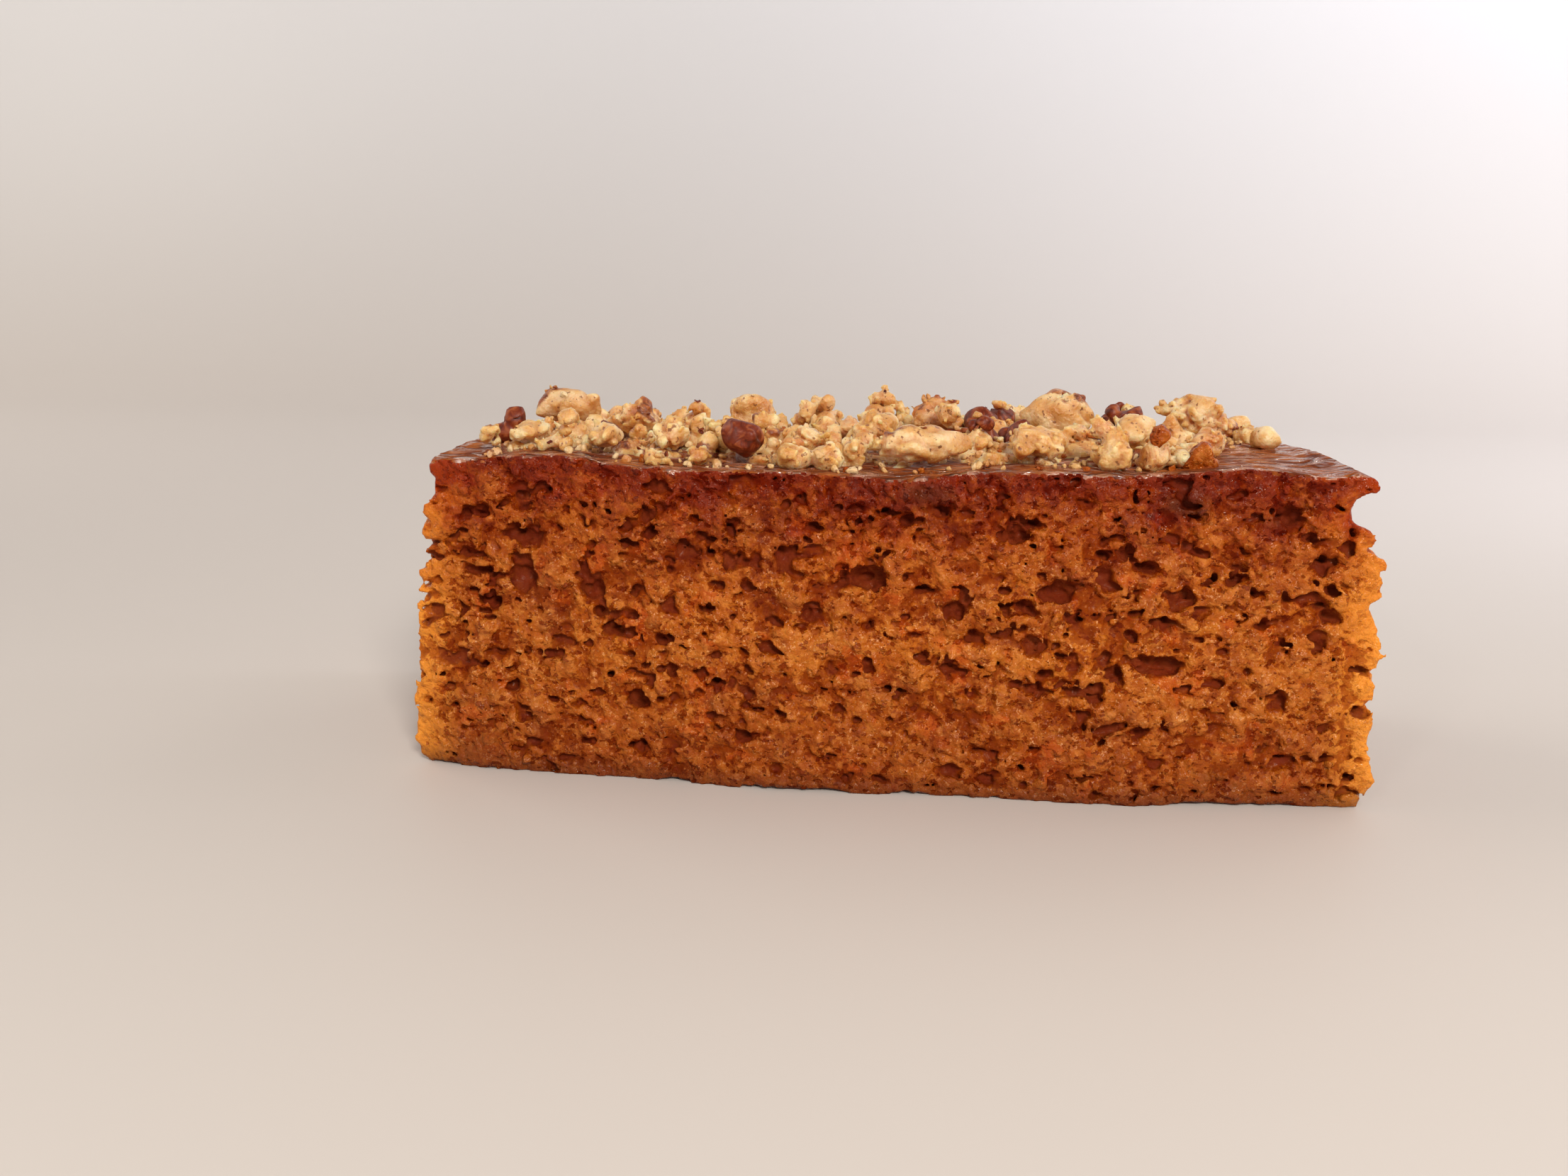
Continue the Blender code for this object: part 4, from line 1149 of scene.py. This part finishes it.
def dressCrumbs():
    draw = random.Random(looseBits["seed"])
    ground = landing([cakePiece, *pieces, *bits])
    crumbs = brokenShapes(*looseBits["walnutCrumbShapes"])
    scatter("walnut_crumbs", crumbs, looseBits["walnutCrumbs"], looseBits["walnutCrumbSize"], ground, draw,
            fineFinish, overHeap, fixed=looseBits["fixedWalnut"])
    scatter("walnut_skin_flakes", flakeShape(), looseBits["flakes"], looseBits["flakeSize"], ground, draw,
            skinFinish, overHeap, flat=True)
    crumbs = brokenShapes(*looseBits["cakeCrumbShapes"])
    scatter("loose_cake_crumbs", crumbs, looseBits["cakeCrumbs"], looseBits["cakeCrumbSize"], ground, draw,
            crumbFinish, overHeap, fixed=looseBits["fixedCake"])


dressCrumbs()


# Floor, light and camera

stage = {
    "floor": "#CDC3BA", "wall": "#E2DEDB", "paler": (10, 260),       # a shade lighter where it bends up
    "wallDistance": 700.0, "bend": 300.0, "bendSteps": 12, "wallTop": 1800.0, "width": 9000.0,
    # each lamp: place, aim, size, power, colour
    "lamps": {
        "window_right": ((800, 420, 560), (0, 0, 10), (700, 700), 2.4, "#FFFDFB"),
        "window_left": ((-900, 180, 600), (0, 0, 10), (725, 580), 3.7, "#FFFAF4"),
        "key": ((150, -390, 300), (0, 0, 20), (120, 120), 2.04, "#FFFBF6"),
        "glint": ((-180, -330, 250), (0, 0, 20), (40, 40), 0.16, "#FFFFFF"),
        "wall_wash_right": ((520, 130, 330), (330, 700, 330), (600, 500), 3.4, "#E8EEFF"),
        "wall_wash_left": ((-480, 130, 330), (-330, 700, 320), (400, 400), 0.35, "#F8F6F4"),
    },
    "room": ("#F2F0EE", 0.34),
}


def paleFloor():
    # one sheet: flat floor that bends up behind
    made = bmesh.new()
    half, bend, steps = stage["width"] / 2, stage["bend"], stage["bendSteps"]
    begins = stage["wallDistance"] - bend
    profile = [(-half, 0.0), (begins, 0.0)]
    for number in range(1, steps + 1):
        turn = math.radians(90 * number / steps)
        profile.append((begins + bend * math.sin(turn), bend * (1 - math.cos(turn))))
    profile.append((stage["wallDistance"], stage["wallTop"]))
    rows = [[made.verts.new((side * half * mm, y * mm, z * mm)) for side in (-1, 1)] for y, z in profile]
    for lower, upper in zip(rows, rows[1:]):
        made.faces.new((lower[0], lower[1], upper[1], upper[0]))
    data = bpy.data.meshes.new("floor")
    made.to_mesh(data)
    made.free()
    data.shade_smooth()
    floor = bpy.data.objects.new("floor", data)
    bpy.context.scene.collection.objects.link(floor)
    # matt card
    finish, tree, shader, spot = newMaterial("pale_matt_card", {"Roughness": 0.55})
    values = {"height": addNode(tree, "ShaderNodeSeparateXYZ", links={0: spot}).outputs["Z"]}
    low, high = stage["paler"]
    deriveValues(tree, values, {"share": ("height", low * mm, high * mm, 0.0, 1.0)})
    colour = addNode(tree, "ShaderNodeValToRGB", links={0: values["share"]},
                     stops=((0.0, stage["floor"]), (1.0, stage["wall"])))
    plug(tree, shader, {"Base Color": colour.outputs[0]})
    data.materials.append(finish)


def softLight(name, place, aim, size, power, colour):
    lamp = bpy.data.lights.new(name, "AREA")
    lamp.shape = "RECTANGLE"
    lamp.size, lamp.size_y = size[0] * mm, size[1] * mm
    lamp.energy = power
    lamp.color = toLinear(colour)[:3]
    thing = bpy.data.objects.new(name, lamp)
    bpy.context.scene.collection.objects.link(thing)
    thing.location = Vector(place) * mm
    thing.rotation_euler = (Vector(aim) * mm - thing.location).to_track_quat("-Z", "Y").to_euler()
    thing.visible_camera = False


camera = {"place": (1.9, -146.8, 58.0), "down": 14.42, "heading": 5.73, "roll": 0.5,
          "lens": 26.37, "sensor": 36.0, "clip": 0.005}


def setCamera():
    lens = bpy.data.cameras.new("camera")
    lens.sensor_width = camera["sensor"]
    lens.lens = camera["lens"]
    lens.clip_start = camera["clip"]
    eye = bpy.data.objects.new("camera", lens)
    bpy.context.scene.collection.objects.link(eye)
    turn = (Matrix.Rotation(math.radians(camera["heading"]), 4, "Z")
            @ Matrix.Rotation(math.radians(90 - camera["down"]), 4, "X")
            @ Matrix.Rotation(math.radians(camera["roll"]), 4, "Z"))
    eye.matrix_world = Matrix.Translation(Vector(camera["place"]) * mm) @ turn
    bpy.context.scene.camera = eye


def lightRoom():
    for name, row in stage["lamps"].items():
        softLight(name, *row)
    world = bpy.data.worlds.new("room")
    world.use_nodes = True
    around = world.node_tree.nodes["Background"].inputs
    colour, strength = stage["room"]
    around["Color"].default_value = toLinear(colour)
    around["Strength"].default_value = strength
    bpy.context.scene.world = world
    bpy.context.scene.view_settings.view_transform = "Standard"


paleFloor()
lightRoom()
setCamera()

print("carrot cake: dressed")
